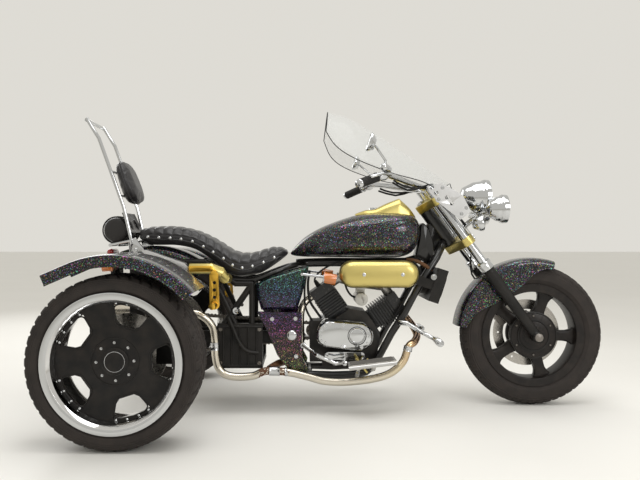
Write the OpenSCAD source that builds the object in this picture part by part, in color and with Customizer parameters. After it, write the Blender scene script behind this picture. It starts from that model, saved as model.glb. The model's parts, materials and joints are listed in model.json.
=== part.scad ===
// Motorized trike: a V-twin cruiser with two wide car wheels at the back.
// +X points forwards, +Y to the rider's left, +Z up. The floor is z = 0.
// The origin is on the floor, at the middle of the length and the width.

/* [Stance] */
// Distance between the front axle and the rear axle
wheelbase = 1681; // [1640:1:2100]
// Distance between the middles of the two rear tyres
rear_track = 1240; // [1180:1:1500]
// Distance that the rear axle lies behind the middle of the frame
axle_set_back = 842.5; // [820:0.5:900]

/* [Front wheel] */
// Outer radius of the front tyre
front_tyre_r = 312; // [300:1:330]
// Width of the front tyre
front_tyre_w = 120; // [100:1:122]
// Radius of the front rim where the tyre seats
front_seat_r = 216; // [200:1:225]
// Number of spokes in the front wheel
front_spokes = 5; // [3:1:7]
// Radius of the front brake disc
front_disc_r = 150; // [120:1:160]

/* [Rear wheels] */
// Outer radius of each rear tyre
rear_tyre_r = 308; // [290:1:330]
// Width of each rear tyre
rear_tyre_w = 225; // [190:1:250]
// Radius of the rear rim where the tyre seats
rear_seat_r = 229; // [215:1:240]
// Depth of the wheel's dish, from the tyre's outer face
rear_dish = 62; // [30:1:90]
// Number of windows in each rear wheel
rear_windows = 5; // [3:1:8]
// Radius of the rear brake discs
rear_disc_r = 150; // [110:1:170]

/* [Fork] */
// Angle of the steering axis from the vertical, in degrees
rake = 36.2; // [28:0.1:42]
// Distance between the steering axis and the fork tubes
fork_offset = 50; // [35:1:60]
// Distance from the middle of the trike to each fork leg
leg_y = 105; // [100:1:125]
// Radius of the fork tubes
tube_r = 20.5; // [17:0.5:25]
// Length of the fork, from the axle to the top of the tubes
fork_length = 800; // [780:1:960]

/* [Fenders] */
// Gap between the rear tyre and the outside of its fender
rear_fender_rise = 73; // [50:1:100]
// Gap between the front tyre and the outside of its fender
front_fender_rise = 30; // [22:1:60]
// Thickness of the fenders
fender_wall = 5; // [3:0.5:8]

/* [Engine] */
// Height of the crankshaft above the floor
crank_z = 315; // [300:1:330]
// Half width of the crankcase
case_half = 80; // [70:1:82]
// Number of fins on each cylinder
fin_count = 8; // [5:1:9]

/* [Seat and backrest] */
// Width of the seat at the rider's hips
seat_w = 320; // [260:1:360]
// Distance from the middle to each upright of the sissy bar
upright_y = 126; // [120:1:140]

/* [Hidden] */
$fn = 48;

seat_gap = 0.3;    // gap between a piece and the piece that carries it
run_gap = 0.4;     // gap round a shaft that turns
rear_x = -(wheelbase + front_tyre_r - rear_tyre_r) / 2;
front_x = rear_x + wheelbase;
frame_x = rear_x + axle_set_back;   // middle of the frame, which all chassis pieces use

frame_tube_r = 16; // radius of the frame's main tubes
rail_y = 100;      // distance of the frame's lower tubes from the middle
cover_y = rail_y + frame_tube_r + seat_gap;   // inner face of the painted side covers
subframe_y = 128.5;  // distance of the rear subframe's rods from the middle
stem_r = 14;       // radius of the steering stem
head_r = 30;       // outer radius of the head tube
lower_yoke = 517;  // distance of the lower yoke from the axle, along the fork
upper_yoke = 739;  // the same, for the upper yoke
yoke_h = 36;       // thickness of the yokes
slider_top = 365;  // top of the sliders, along the fork
slider_r = 27;     // radius of the sliders at the top
slider_foot_r = 21;
slider_low = 14;   // bottom of the sliders, along the fork
fork_axle_r = 10;
steering_x = 838.5;  // front axle in the X of the pieces that stand on the fork
hub_half = 66;     // half width of the front hub
pivot = [-227.5, 325];  // swing arm pivot, in the frame's X and Z
chain_y = 40;      // line of the drive chain
stub_r = 25;       // radius of the rear stub axles
fender_half = 70;  // half width of the front fender

// ---------- curves ----------

function unit(v) = v / norm(v);
function mix(a, b, t) = a + (b - a) * t;

// A smooth curve through the points of p, with n steps between neighbours
function smooth(p, n) = concat([
    for (i = [0:len(p) - 2], j = [0:n - 1])
        let (t = j / n, a = p[max(i - 1, 0)], b = p[i], c = p[i + 1], d = p[min(i + 2, len(p) - 1)])
        0.5 * (2 * b + (c - a) * t + (2 * a - 5 * b + 4 * c - d) * t * t
            + (3 * b - a - 3 * c + d) * t * t * t)
], [p[len(p) - 1]]);

function heading(p, i) = unit(p[min(i + 1, len(p) - 1)] - p[max(i - 1, 0)]);
function start_side(t) = unit(cross(t, abs(t[2]) < 0.8 ? [0, 0, 1] : [1, 0, 0]));
function slide_side(side, t) = unit(side - (side * t) * t);

// One side direction for each point of a path, turned as little as possible along it
function sides(p) = [
    for (i = 0, s = start_side(heading(p, 0)); i < len(p);
         s = i + 1 < len(p) ? slide_side(s, heading(p, i + 1)) : s, i = i + 1) s
];

// A ring of n points as triangles. A band's ring runs out along one side and back along the other.
function cap_faces(n, band) = band
    ? [for (j = [0:n / 2 - 2]) each [[j, j + 1, n - 2 - j], [j, n - 2 - j, n - 1 - j]]]
    : [for (j = [1:n - 2]) [0, j, j + 1]];

// The faces of a closed skin over rings that all have n points
function skin_faces(rings, n, band) = concat(
    cap_faces(n, band),
    [for (i = [0:rings - 2], j = [0:n - 1]) let (k = (j + 1) % n, a = i * n, b = a + n)
        each [[a + j, b + j, b + k], [a + j, b + k, a + k]]],
    [for (f = cap_faces(n, band)) [for (j = [2:-1:0]) (rings - 1) * n + f[j]]]
);

// A solid through a list of rings, which run anticlockwise about the path's direction
module skin(rings, band = false) {
    n = len(rings[0]);
    polyhedron([for (r = rings) each r], skin_faces(len(rings), n, band), convexity = 6);
}

// A round tube along a path
module pipe(p, r, n = 12) {
    s = sides(p);
    skin([for (i = [0:len(p) - 1]) let (t = heading(p, i), u = s[i], v = cross(t, u))
        [for (a = [0:n - 1]) p[i] + r * (cos(360 * a / n) * u + sin(360 * a / n) * v)]]);
}

// A straight 12-sided rod between two points. It runs on a little, so that rods meet at a bend.
module rod(a, b, r) {
    d = b - a;
    run_on = 0.41 * r;
    translate(a) rotate([0, acos(d[2] / norm(d)), atan2(d[1], d[0])]) translate([0, 0, -run_on])
        cylinder(h = norm(d) + 2 * run_on, r = r, $fn = 12);
}

// A cylinder along Y, from y0 to y1, at x and z
module yrod(x, z, y0, y1, r, r2 = -1) {
    translate([x, y0, z]) rotate([-90, 0, 0])
        cylinder(h = y1 - y0, r1 = r, r2 = r2 < 0 ? r : r2);
}

// An outline of [x, z] points, extruded along Y from y0 to y1
module plate(outline, y0, y1) {
    translate([0, y1, 0]) rotate([90, 0, 0]) linear_extrude(y1 - y0) polygon(outline);
}

// Its children on the trike's right (s = -1) or left (s = 1), drawn for the left
module on_side(s) mirror([0, s > 0 ? 0 : 1, 0]) children();

// Places its children in the frame's own X
module chassis() translate([frame_x, 0, 0]) children();

// Z runs up the fork legs and X forwards, square to them, from the front axle
module fork() translate([front_x, 0, front_tyre_r]) rotate([0, -rake, 0]) children();

// A point given along the fork, up by z, forwards by x and to the left by y, for an axle at axle_x
function fork_point(x, y, z, axle_x = front_x - frame_x) = [
    axle_x + x * cos(rake) - z * sin(rake), y, front_tyre_r + x * sin(rake) + z * cos(rake)
];

// Places its children in the X of the pieces that stand on the fork
module on_fork() translate([front_x - steering_x, 0, 0]) children();
function steering_point(x, y, z) = fork_point(x, y, z, steering_x);

// Right and left copies of a point
function side_of(p, s) = [p[0], s * p[1], p[2]];
function side_path(path, s) = [for (p = path) side_of(p, s)];

// ---------- frame ----------

neck_low = fork_point(-fork_offset - 26, 26, lower_yoke + yoke_h / 2 + 28);
neck_back = fork_point(-fork_offset - 20, 0, upper_yoke - yoke_h / 2 - 70);
down_tube = smooth([
    neck_low, neck_low + [-38, 48, -66], [322, rail_y, 530], [261, rail_y, 414],
    [206, rail_y, 329], [160, rail_y, 244], [116, rail_y, 178], [52, rail_y, 150],
    [-150, rail_y, 150], [-215, rail_y, 176], [-262, rail_y, 300], [-320, rail_y, 470],
    [-352, rail_y, 552]
], 2);
back_bone = smooth([neck_back, [336, 0, 652], [200, 0, 633.4], [-60, 0, 633.4], [-210, 0, 628]], 2);
seat_rail = smooth([
    [-190, 14, 626], [-250, 70, 612], [-320, rail_y, 586], [-390, rail_y, 560], [-447, rail_y, 559.7],
    [-510, rail_y, 567], [-600, rail_y, 618]
], 2);

module head_bore(clearance) {
    fork() translate([-fork_offset, 0, lower_yoke])
        cylinder(h = upper_yoke - lower_yoke, r = head_r + clearance);
}

module main_frame() {
    color("#141416") difference() {
        chassis() {
            for (s = [-1, 1]) {
                pipe(side_path(down_tube, s), frame_tube_r);
                pipe(side_path(seat_rail, s), 13);
                rod([-262, s * rail_y, 300], [pivot[0], s * 92, pivot[1]], 12);
            }
            pipe(back_bone, 20);
            for (x = [52, -150]) rod([x, -rail_y, 150], [x, rail_y, 150], 12);
            rod([322, -rail_y, 530], [322, rail_y, 530], 10);
            rod([-352, -rail_y, 552], [-352, rail_y, 552], 12);
            yrod(pivot[0], pivot[1], -96, 96, 12);
            translate([52, 0, 150]) cylinder(h = 23.4, r = 12);
            hull() {
                translate(neck_back) sphere(24, $fn = 16);
                translate([362, 0, 660]) sphere(16, $fn = 16);
                translate(fork_point(-fork_offset - 18, 0, lower_yoke + yoke_h)) sphere(18, $fn = 16);
            }
        }
        head_bore(seat_gap);
    }
}

module head_tube() {
    top = upper_yoke - yoke_h / 2 - 1;
    low = lower_yoke + yoke_h / 2 + 1;
    color("#1c1c20") fork() translate([-fork_offset, 0, low]) difference() {
        cylinder(h = top - low, r = head_r);
        translate([0, 0, -1]) cylinder(h = top - low + 2, r = stem_r + run_gap);
    }
}

shock_tilt = 22;
shock_reach = 316;   // from the axle to the bar that the shocks push on
shock_top = [-axle_set_back + shock_reach * sin(shock_tilt), rear_tyre_r + shock_reach * cos(shock_tilt)];

// The black carrier between the frame and the rear axle
module rear_subframe() {
    color("#161618") chassis() {
        y = subframe_y;
        for (s = [-1, 1]) {
            rod([-400, s * y, 545], [-520, s * y, 372], 12);
            rod([-400, s * y, 545], [-400, s * y, 372], 12);
            rod([-600, s * y, 640], [-470, s * y, 372], 11);
            rod([-400, s * y, 545], [-470, s * y, 545], 12);
            rod([-470, s * y, 545], [-600, s * y, 640], 12);
            rod([-600, s * y, 640], [-850, s * y, 640], 12);
            rod([-850, s * y, 640], [-850, s * y, 618], 11);
            rod([shock_top[0], s * y, 640], [shock_top[0], s * y, shock_top[1]], 11);
        }
        yrod(-600, 640, -y, y, 11);
        yrod(-850, 618, -y, y, 11);
        translate([-850, 0, 618]) cylinder(h = 80.1, r = 10);
        yrod(shock_top[0], shock_top[1], -y, y, 11);
        yrod(-400, 537.9, -y, y, 8);
        difference() {
            translate([-545, -150, 185]) cube([193, 300, 190]);
            translate([-546, -118, 210]) cube([195, 236, 200]);
        }
    }
}

// ---------- rear axle ----------

hub_face = rear_track / 2 - rear_tyre_w / 2 - 30;  // inner end of each wheel's hub
wheel_plane = rear_track / 2 + rear_tyre_w / 2 - rear_dish;  // outer face of each wheel's centre

module axle_side(s, inner) {
    y0 = s > 0 ? inner : -hub_face + 10;
    y1 = s > 0 ? hub_face - 10 : inner;
    yrod(rear_x, rear_tyre_r, y0, y1, 38);
    on_side(s) {
        yrod(rear_x, rear_tyre_r, hub_face - 22, hub_face - 10, 62);
        yrod(rear_x, rear_tyre_r, hub_face - 11, wheel_plane - 12, stub_r);
    }
}

// The brake caliper on the left, which straddles the brake disc
module rear_caliper() {
    translate([rear_x + 110, hub_face - 26, rear_tyre_r - 40]) difference() {
        cube([rear_disc_r - 90, 49, 80]);
        translate([-1, 20, -1]) cube([rear_disc_r - 104, 17, 82]);
    }
    translate([rear_x + 30, hub_face - 26, rear_tyre_r - 20]) cube([90, 14, 40]);
}

module axle_carrier() {
    color("#1a1a1c") {
        axle_side(-1, chain_y - 11);
        axle_side(1, chain_y + 11);
        yrod(rear_x, rear_tyre_r, -66, chain_y - 11, 78);
        yrod(rear_x, rear_tyre_r, chain_y + 11, 72, 60);
        for (s = [-1, 1]) {
            translate([rear_x - 14, s * 62 - 11, rear_tyre_r - 26])
                cube([axle_set_back + pivot[0] + 14 - 12 - seat_gap, 22, 52]);
            translate([rear_x - 30, s * 330 - 12, rear_tyre_r - 22]) cube([60, 24, 367.7]);
            on_side(s) rear_caliper();
        }
    }
}

module rear_shocks() {
    foot = 38 + seat_gap;
    color("#b8b9bb") chassis() for (s = [-1, 1])
        translate([-axle_set_back, s * 96, rear_tyre_r]) rotate([0, shock_tilt, 0]) {
            translate([0, 0, foot]) cylinder(h = 60, r = 10);
            translate([0, 0, foot + 28]) cylinder(h = 170, r = 27);
            translate([0, 0, foot + 180]) cylinder(h = shock_reach - 11 - seat_gap - foot - 180, r = 17);
        }
}

module sprocket(x, z, r) yrod(x, z, chain_y - 3, chain_y + 3, r);

// Outline of the chain's loop round its two sprockets, grown by g
module chain_loop(g) {
    hull() {
        yrod(-axle_set_back, rear_tyre_r, chain_y - 8, chain_y + 8, 96 + g, $fn = 32);
        yrod(-135, 322, chain_y - 8, chain_y + 8, 30 + g, $fn = 32);
    }
}

module final_drive() {
    color("#5c5a55") chassis() {
        difference() {
            chain_loop(8);
            chain_inside();
        }
        sprocket(-axle_set_back, rear_tyre_r, 97);
        sprocket(-135, 322, 31);
        yrod(-axle_set_back, rear_tyre_r, chain_y - 10.7, chain_y + 10.7, 34);
    }
}

module chain_inside() {
    hull() {
        yrod(-axle_set_back, rear_tyre_r, chain_y - 9, chain_y + 9, 92, $fn = 32);
        yrod(-135, 322, chain_y - 9, chain_y + 9, 26, $fn = 32);
    }
}

// ---------- wheels ----------

// A ring profile of [radius, y] points turned about Y, at x and z
module turned(x, z, profile) {
    translate([x, 0, z]) rotate([-90, 0, 0]) rotate_extrude($fn = 96) polygon(profile);
}

// A tyre's section: its crown, walls and beads, as [radius, y]. Its seat has radius s.
function tyre_half(r, w, s, square) = [
    for (a = [0:15:90]) [
        mix(s + 30, r, pow(sin(a), square)),
        w / 2 * pow(cos(a), square)
    ]
];

// The whole section, with beads that sit inside rim flanges of height lip
function tyre_profile(r, w, s, square, lip) =
    let (h = tyre_half(r, w, s, square), bead = w / 2 - 12 - seat_gap, top = s + lip + seat_gap)
    concat(
        [[s + seat_gap, bead], [top, bead]],
        h,
        [for (i = [len(h) - 2:-1:0]) [h[i][0], -h[i][1]]],
        [[top, -bead], [s + seat_gap, -bead], [s + seat_gap, -bead + 14],
         [s + 18, -bead + 10], [mix(s, r, 0.62), -w / 2 + 16], [r - 16, -w / 2 + 42],
         [r - 14, w / 2 - 42], [mix(s, r, 0.62), w / 2 - 16], [s + 18, bead - 10],
         [s + seat_gap, bead - 14]]
    );

module front_tyre() {
    color("#2c2724")
        turned(front_x, front_tyre_r, tyre_profile(front_tyre_r, front_tyre_w, front_seat_r, 0.75, 10));
}

front_rim_y = front_tyre_w / 2 - 12;

module front_wheel() {
    r = front_seat_r;
    y = front_rim_y;
    color("#2a2523") {
        difference() {
            union() {
                turned(front_x, front_tyre_r, [
                    [r - 24, -y - 3], [r + 10, -y - 5], [r + 10, -y], [r, -y], [r, -y + 15],
                    [r - 12, -y + 22], [r - 12, y - 22], [r, y - 15], [r, y], [r + 10, y],
                    [r + 10, y + 5], [r - 24, y + 3], [r - 26, y - 18], [r - 26, -y + 18]
                ]);
                for (k = [0:front_spokes - 1])
                    translate([front_x, 0, front_tyre_r]) rotate([0, 3 - 360 * k / front_spokes, 0])
                        translate([34, -13, -23]) cube([r - 56, 26, 46]);
                yrod(front_x, front_tyre_r, -hub_half, hub_half, 44);
                yrod(front_x, front_tyre_r, -52, -30, 104);
                yrod(front_x, front_tyre_r, -58, -52, 72);
                yrod(front_x, front_tyre_r, 36, 49, 96);
            }
            yrod(front_x, front_tyre_r, -hub_half - 1, hub_half + 1, fork_axle_r + run_gap);
        }
        difference() {
            yrod(front_x, front_tyre_r, 49, 54, front_disc_r);
            yrod(front_x, front_tyre_r, 48, 55, front_disc_r - 44);
            for (k = [0:5]) rotate_at_front(60 * k) yrod(front_disc_r - 22, 0, 48, 55, 5);
        }
        for (k = [0:4]) rotate_at_front(72 * k)
            translate([80, 46, -12]) cube([front_disc_r - 120, 8, 24]);
    }
}

module rotate_at_front(a) translate([front_x, 0, front_tyre_r]) rotate([0, a, 0]) children();

rear_rim_y = rear_tyre_w / 2 - 12;

// One window in the wheel's centre, as an outline in the wheel's own plane
module rear_window() {
    half = 180 / rear_windows * 0.53;
    inner = rear_seat_r - 99;
    outer = rear_seat_r - 32;
    plane = rear_tyre_w / 2 - rear_dish - 7;
    translate([0, plane, 0]) rotate([90, 0, 0]) linear_extrude(40, center = true) polygon([
        [inner, -inner * tan(half) * 0.62], [inner + 14, -inner * tan(half)],
        [outer - 8, -outer * tan(half)], [outer, -outer * tan(half) * 0.62],
        [outer + 4, 0],
        [outer, outer * tan(half) * 0.62], [outer - 8, outer * tan(half)],
        [inner + 14, inner * tan(half)], [inner, inner * tan(half) * 0.62]
    ]);
}

// A rear wheel at the origin, with its outer side towards +Y
module rear_wheel_shape() {
    r = rear_seat_r;
    y = rear_rim_y;
    face = rear_tyre_w / 2 - rear_dish;
    difference() {
        union() {
            turned(0, 0, [
                [r, -y], [r + 16, -y], [r + 16, -y - 5], [r - 8, -y - 4], [r - 13, -y + 20],
                [r - 16, face - 14], [r - 16, y - 2], [r - 6, y + 8], [r + 19, y + 8],
                [r + 19, y + 2], [r, y], [r, y - 20], [r - 9, y - 28], [r - 9, -y + 28], [r, -y + 20]
            ]);
            yrod(0, 0, face - 14, face, r - 15);
            yrod(0, 0, face - 1, face + 8, 47);
            yrod(0, 0, -rear_tyre_w / 2 - 30, face - 10, 58);
        }
        for (k = [0:rear_windows - 1]) rotate([0, -360 * k / rear_windows, 0]) rear_window();
        yrod(0, 0, -rear_tyre_w / 2 - 31, face - 6, stub_r + run_gap);
    }
    difference() {
        yrod(0, 0, -rear_tyre_w / 2 - 30, -rear_tyre_w / 2 - 24, rear_disc_r);
        yrod(0, 0, -rear_tyre_w / 2 - 31, -rear_tyre_w / 2 - 23, 57);
    }
}

module rear_wheel(side) {
    color("#1d1b1b") translate([rear_x, side * rear_track / 2, rear_tyre_r])
        on_side(side) rear_wheel_shape();
}

module rear_tyre(side) {
    color("#3a332f") translate([0, side * rear_track / 2, 0])
        turned(rear_x, rear_tyre_r, tyre_profile(rear_tyre_r, rear_tyre_w, rear_seat_r, 0.4, 19));
}

module rear_tyre_right() rear_tyre(-1);
module rear_tyre_left() rear_tyre(1);
module rear_wheel_right() rear_wheel(-1);
module rear_wheel_left() rear_wheel(1);

// ---------- engine ----------

crank_x = 40;
front_tilt = 55;     // each cylinder's tilt from the vertical
rear_tilt = -35;
base_h = 105;        // from the crankshaft to the foot of each cylinder
port_h = 238;        // from the crankshaft to the ports in each head

// A point of a cylinder tilted by a, x across it and z along it, as [X, Z] of the chassis
function from_crank(a, x, z) = [crank_x + x * cos(a) + z * sin(a), crank_z - x * sin(a) + z * cos(a)];
function port(a, x, y) = let (p = from_crank(a, x, port_h)) [p[0], y, p[1]];

module crankcase() {
    color("#3a3836") chassis() {
        plate([
            [-95, 180], [110, 172], [140, 205], [155, 290], from_crank(front_tilt, 55, base_h),
            from_crank(front_tilt, -55, base_h), from_crank(rear_tilt, 55, base_h),
            from_crank(rear_tilt, -55, base_h), [-95, crank_z + 50]
        ], -case_half, case_half);
        translate([-150, -case_half, 200]) cube([55.5, case_half + 20, 180]);
    }
}

module crankcase_covers() {
    color("#d9dadc") chassis() for (s = [-1, 1]) on_side(s) {
        hull() {
            for (p = [[58, 322, 62], [-62, 333, 60], [-84, 318, 38]])
                yrod(p[0], p[1], case_half + seat_gap, case_half + 76, p[2], $fn = 32);
            for (p = [[58, 322, 52], [-62, 333, 50], [-84, 318, 28]])
                yrod(p[0], p[1], case_half + 76, case_half + 90, p[2], $fn = 32);
        }
        yrod(50, 326, case_half + 88, case_half + 94, 33.5);
        hull() {
            yrod(-70, 236, case_half + seat_gap, case_half + 60, 16, $fn = 32);
            yrod(70, 236, case_half + seat_gap, case_half + 60, 16, $fn = 32);
        }
    }
}

// One cylinder with its axis along Z, from the crankshaft
module cylinder_shape() {
    translate([0, 0, base_h + seat_gap]) cylinder(h = 17, r = 46);
    translate([-40, -50, base_h + seat_gap]) cube([80, 100, 16]);
    for (i = [0:fin_count - 1])
        translate([-56, -64, 120 + i * 12]) cube([112, 128, 6]);
    translate([-44, -50, 119]) cube([88, 100, 12 * fin_count]);
    translate([-52, -58, 118 + 12 * fin_count]) cube([104, 116, 46]);
}

module cylinders() {
    color("#26262a") chassis() for (a = [rear_tilt, front_tilt])
        translate([crank_x, 0, crank_z]) rotate([0, a, 0]) cylinder_shape();
}

module carburettors() {
    color("#8d8d8a") chassis() {
        yrod(76, 474, -92, 60, 28);
        yrod(76, 540, -60, 60, 30);
        translate([58, -40, 474]) cube([36, 80, 66]);
        yrod(110, 588, -107.7, -52, 34);
        translate([60, -66, 540]) cube([50, 40, 50]);
        rod(port(front_tilt, -61.5, 0), port(front_tilt, -96, 0), 22);
        rod(port(rear_tilt, 61.5, 0), port(rear_tilt, 96, 0), 22);
        rod(port(front_tilt, -92, 0), [76, 0, 540], 22);
        rod(port(rear_tilt, 92, 0), [76, 0, 540], 22);
    }
}

module air_cleaner() {
    color("#c8ae60") chassis() hull() for (x = [32.5, 253.5])
        for (p = [[-108, 50], [-112, 57.5], [-180, 57.5], [-196, 52], [-206, 41], [-211, 24]])
            yrod(x, 588.5, p[0] - 1, p[0], p[1], $fn = 32);
}

front_header = smooth([
    port(front_tilt, 52 + seat_gap, -24), port(front_tilt, 62, -24), port(front_tilt, 80, -24),
    [306, -52, 352], [314, -108, 322], [296, -156, 300], [268, -178, 282],
    [244, -180, 220], [193, -180, 172], [115, -180, 146], [0, -180, 133], [-90, -180, 137],
    [-150, -180, 153], [-243, -180, 174], [-336, -180, 179], [-395, -180, 158], [-490, -180, 158],
    [-535, -180, 190], [-550, -180, 246], [-553, -180, 314], [-568, -180, 376], [-620, -190, 420],
    [-700, -200, 430]
], 2);
rear_header = smooth([
    port(rear_tilt, -52 - seat_gap, -24), port(rear_tilt, -62, -24), port(rear_tilt, -80, -24),
    [-182, -36, 436], [-190, -50, 390], [-189, -54, 290], [-202, -56, 232], [-246, -70, 206],
    [-288, -104, 196], [-322, -156, 184]
], 2);

module exhaust_pipes() {
    color("#c6bba2") chassis() {
        pipe(front_header, 16.5);
        pipe(rear_header, 16);
        rod([-262, -180, 177], [-330, -180, 180], 24);
        rod([-318, -176, 222], [-322, -176, 190], 19);
        rod([-700, -200, 430], [-1000, -200, 430], 42);
        rod([-1000, -200, 430], [-1046, -200, 430], 22);
        rod([-551, -180, 260], [-553, -180, 300], 19);
        rod([268, -178, 282], [262, -178.5, 266], 19);
        for (x = [-730, -850, -970]) rod([x, -200, 430], [x - 6, -200, 430], 44);
    }
}

radiator_foot = [403, 458];

module radiator() {
    color("#17181a") chassis() translate([radiator_foot[0], 0, radiator_foot[1]]) rotate([0, 18, 0]) {
        translate([-45, -130, 0]) cube([45, 260, 148]);
        translate([-70, 0, 74]) rotate([0, 90, 0]) cylinder(h = 26, r = 58);
        for (s = [-1, 1]) translate([-114, s * (cover_y + 4.2) - 5, 50]) cube([70, 10, 40]);
    }
}

// ---------- tank and console ----------

// Stations of the tank: x, bottom, top, half width
tank_stations = [
    [-234, 668, 676, 6], [-212, 661, 706, 44], [-170, 658, 746, 78], [-110, 657, 783, 106],
    [-39, 656, 813, 127], [37, 655, 838, 142], [100, 654, 849, 149], [180, 654, 853, 151],
    [250, 657, 851, 145], [296, 674, 844, 126], [322, 706, 829, 96], [336, 742, 805, 56],
    [341, 762, 788, 14]
];
tank_round = 0.72;    // how square the tank's sections are

function tank_ring(s, n = 28) = let (zc = (s[1] + s[2]) / 2, h = (s[2] - s[1]) / 2) [
    for (i = [0:n - 1]) let (a = 360 * i / n, c = cos(a), d = sin(a)) [
        s[0], s[3] * sign(c) * pow(abs(c), tank_round), zc + h * sign(d) * pow(abs(d), tank_round)
    ]
];

tank_skin = smooth(tank_stations, 2);

module fuel_tank() {
    color("#1b1b22") chassis() skin([for (s = tank_skin) tank_ring(s)]);
}

// Height of the tank's top at a station, y from the middle
function tank_top(s, y) = let (zc = (s[1] + s[2]) / 2, h = (s[2] - s[1]) / 2)
    zc + h * pow(1 - pow(abs(y / s[3]), 2 / tank_round), tank_round / 2);

// Height of the console's ridge above the tank and its half width, each at an X
console_ridge = [[37, 3], [100, 16], [140, 17], [180, 36], [250, 66], [296, 30], [322, 8]];
console_width = [[37, 20], [100, 46], [140, 52], [180, 54], [250, 50], [296, 42], [322, 26]];

function console_ring(s) = let (w = lookup(s[0], console_width), ridge = lookup(s[0], console_ridge),
    t = s[2] + 1) concat(
    [for (y = [w, w / 2, 0, -w / 2, -w]) [s[0], y, tank_top(s, y) + 0.6]],
    [[s[0], -w * 0.92, t + ridge * 0.5], [s[0], -w * 0.5, t + ridge * 0.94], [s[0], 0, t + ridge],
     [s[0], w * 0.5, t + ridge * 0.94], [s[0], w * 0.92, t + ridge * 0.5]]
);

module tank_console() {
    color("#c8ae60") chassis() skin([for (i = [10:20]) console_ring(tank_skin[i])], band = true);
}

// ---------- seat and backrest ----------

// Stations of the seat: x, underside, seam, crown, half width as a share of seat_w
seat_stations = [
    [-896, 742, 758, 770, 0.3], [-886, 722, 764, 784, 0.37], [-850, 716, 767, 791, 0.42],
    [-791, 717, 765, 794, 0.44], [-741, 717, 762, 793, 0.45], [-692, 710, 758, 785, 0.45],
    [-643, 696, 745, 771, 0.45], [-590, 663, 717, 747, 0.46], [-540, 624, 689, 718, 0.47],
    [-496, 590, 657, 690, 0.49], [-447, 573, 640, 675, 0.5], [-398, 581, 645, 678, 0.48],
    [-349, 603, 662, 694, 0.43], [-300, 636, 684, 710, 0.37], [-268, 660, 698, 710, 0.3],
    [-248, 676, 692, 699, 0.22]
];

function seat_ring(s) = let (w = s[4] * seat_w) [
    [s[0], w * 0.9, s[1]], [s[0], w, s[1] + 6], [s[0], w, s[2] - 4], [s[0], w * 0.95, mix(s[2], s[3], 0.3)],
    [s[0], w * 0.72, mix(s[2], s[3], 0.75)], [s[0], w * 0.36, mix(s[2], s[3], 0.96)], [s[0], 0, s[3]],
    [s[0], -w * 0.36, mix(s[2], s[3], 0.96)], [s[0], -w * 0.72, mix(s[2], s[3], 0.75)],
    [s[0], -w * 0.95, mix(s[2], s[3], 0.3)], [s[0], -w, s[2] - 4], [s[0], -w, s[1] + 6],
    [s[0], -w * 0.9, s[1]]
];

module seat() {
    color("#242326") chassis() skin([for (s = smooth(seat_stations, 2)) seat_ring(s)]);
}

upright = [[-916, 716], [-926, 760], [-954, 879], [-1006, 1024], [-1059, 1171], [-1113, 1259]];

// X of the upright at a height z between its second and fourth points
function upright_x(z) = lookup(z, [for (p = [upright[1], upright[2], upright[3], upright[4]]) [p[1], p[0]]]);

pad_rails = [925, 1030];  // heights of the bars behind the backrest pad
bag_r = 61;
bag_at = [-992, 776];
rack_x = [bag_at[0] + 20, bag_at[0] - 20];
rack_z = bag_at[1] - sqrt(pow(bag_r + 6 + seat_gap, 2) - 400);
pad_tilt = 19.8;
pad_thick = 58;

module sissy_bar() {
    color("#c9cbce") chassis() {
        for (s = [-1, 1]) pipe([for (p = upright) [p[0], s * upright_y, p[1]]], 8, 8);
        yrod(-1113, 1251, -upright_y, upright_y, 8);
        for (z = pad_rails) rod([upright_x(z), -upright_y, z], [upright_x(z), upright_y, z], 6);
        for (x = rack_x) rod([x, -upright_y, rack_z], [x, upright_y, rack_z], 6);
        for (s = [-1, 1]) {
            rod([-920, s * upright_y, 730], [rack_x[1], s * upright_y, rack_z], 6);
            on_side(s) plate([[-933, 728], [-903, 744], [-864, 693], [-872, 646], [-906, 638], [-924, 660]],
                centre_half + seat_gap, upright_y + 5);
        }
    }
}

module backrest_pad() {
    z = (pad_rails[0] + pad_rails[1]) / 2;
    color("#242326") chassis() translate([upright_x(z), 0, z]) rotate([0, -pad_tilt, 0])
        translate([6 + seat_gap + pad_thick / 2, 0, 0]) hull()
            for (y = [-86, 86], h = [-80, 80]) translate([0, y, h]) rotate([0, 90, 0]) {
                cylinder(h = 34, r = 24, center = true, $fn = 24);
                cylinder(h = pad_thick, r = 14, center = true, $fn = 24);
            }
}

module roll_bag() {
    y = upright_y - 12;
    r = bag_r;
    color("#1d1c1e") chassis() translate([bag_at[0], 0, bag_at[1]]) rotate([-90, 0, 0])
        rotate_extrude() polygon([
            [0, -y], [r - 11, -y], [r - 3, -y + 6], [r, -y + 16], [r, y - 16], [r - 3, y - 6],
            [r - 11, y], [0, y]
        ]);
}

// ---------- fenders and covers ----------

rear_fender_r = rear_tyre_r + rear_fender_rise;
fender_out = rear_track / 2 + rear_tyre_w / 2 + 15;
fender_in = rear_track / 2 - rear_tyre_w / 2 - 58;

// Section of a rear fender: distance from its outer skin, then distance from the middle
fender_section = [
    [-42, fender_out], [-12, fender_out], [-4, fender_out - 4], [0, fender_out - 16],
    [0, fender_in + 18], [-4, fender_in + 6], [-14, fender_in], [-30, fender_in],
    [-30, fender_in + fender_wall], [-14 - fender_wall / 2, fender_in + fender_wall],
    [-4 - fender_wall, fender_in + 20], [-fender_wall, fender_out - 18],
    [-4 - fender_wall, fender_out - 4 - fender_wall], [-42, fender_out - fender_wall]
];

// One section of a band about the rear axle, at angle a, moved back by the run of its tail
function band_ring(section, r, a, run) = [for (p = section) [
    rear_x + (r + p[0]) * cos(a) - run * sin(a), p[1], rear_tyre_r + (r + p[0]) * sin(a) + run * cos(a)
]];

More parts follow.
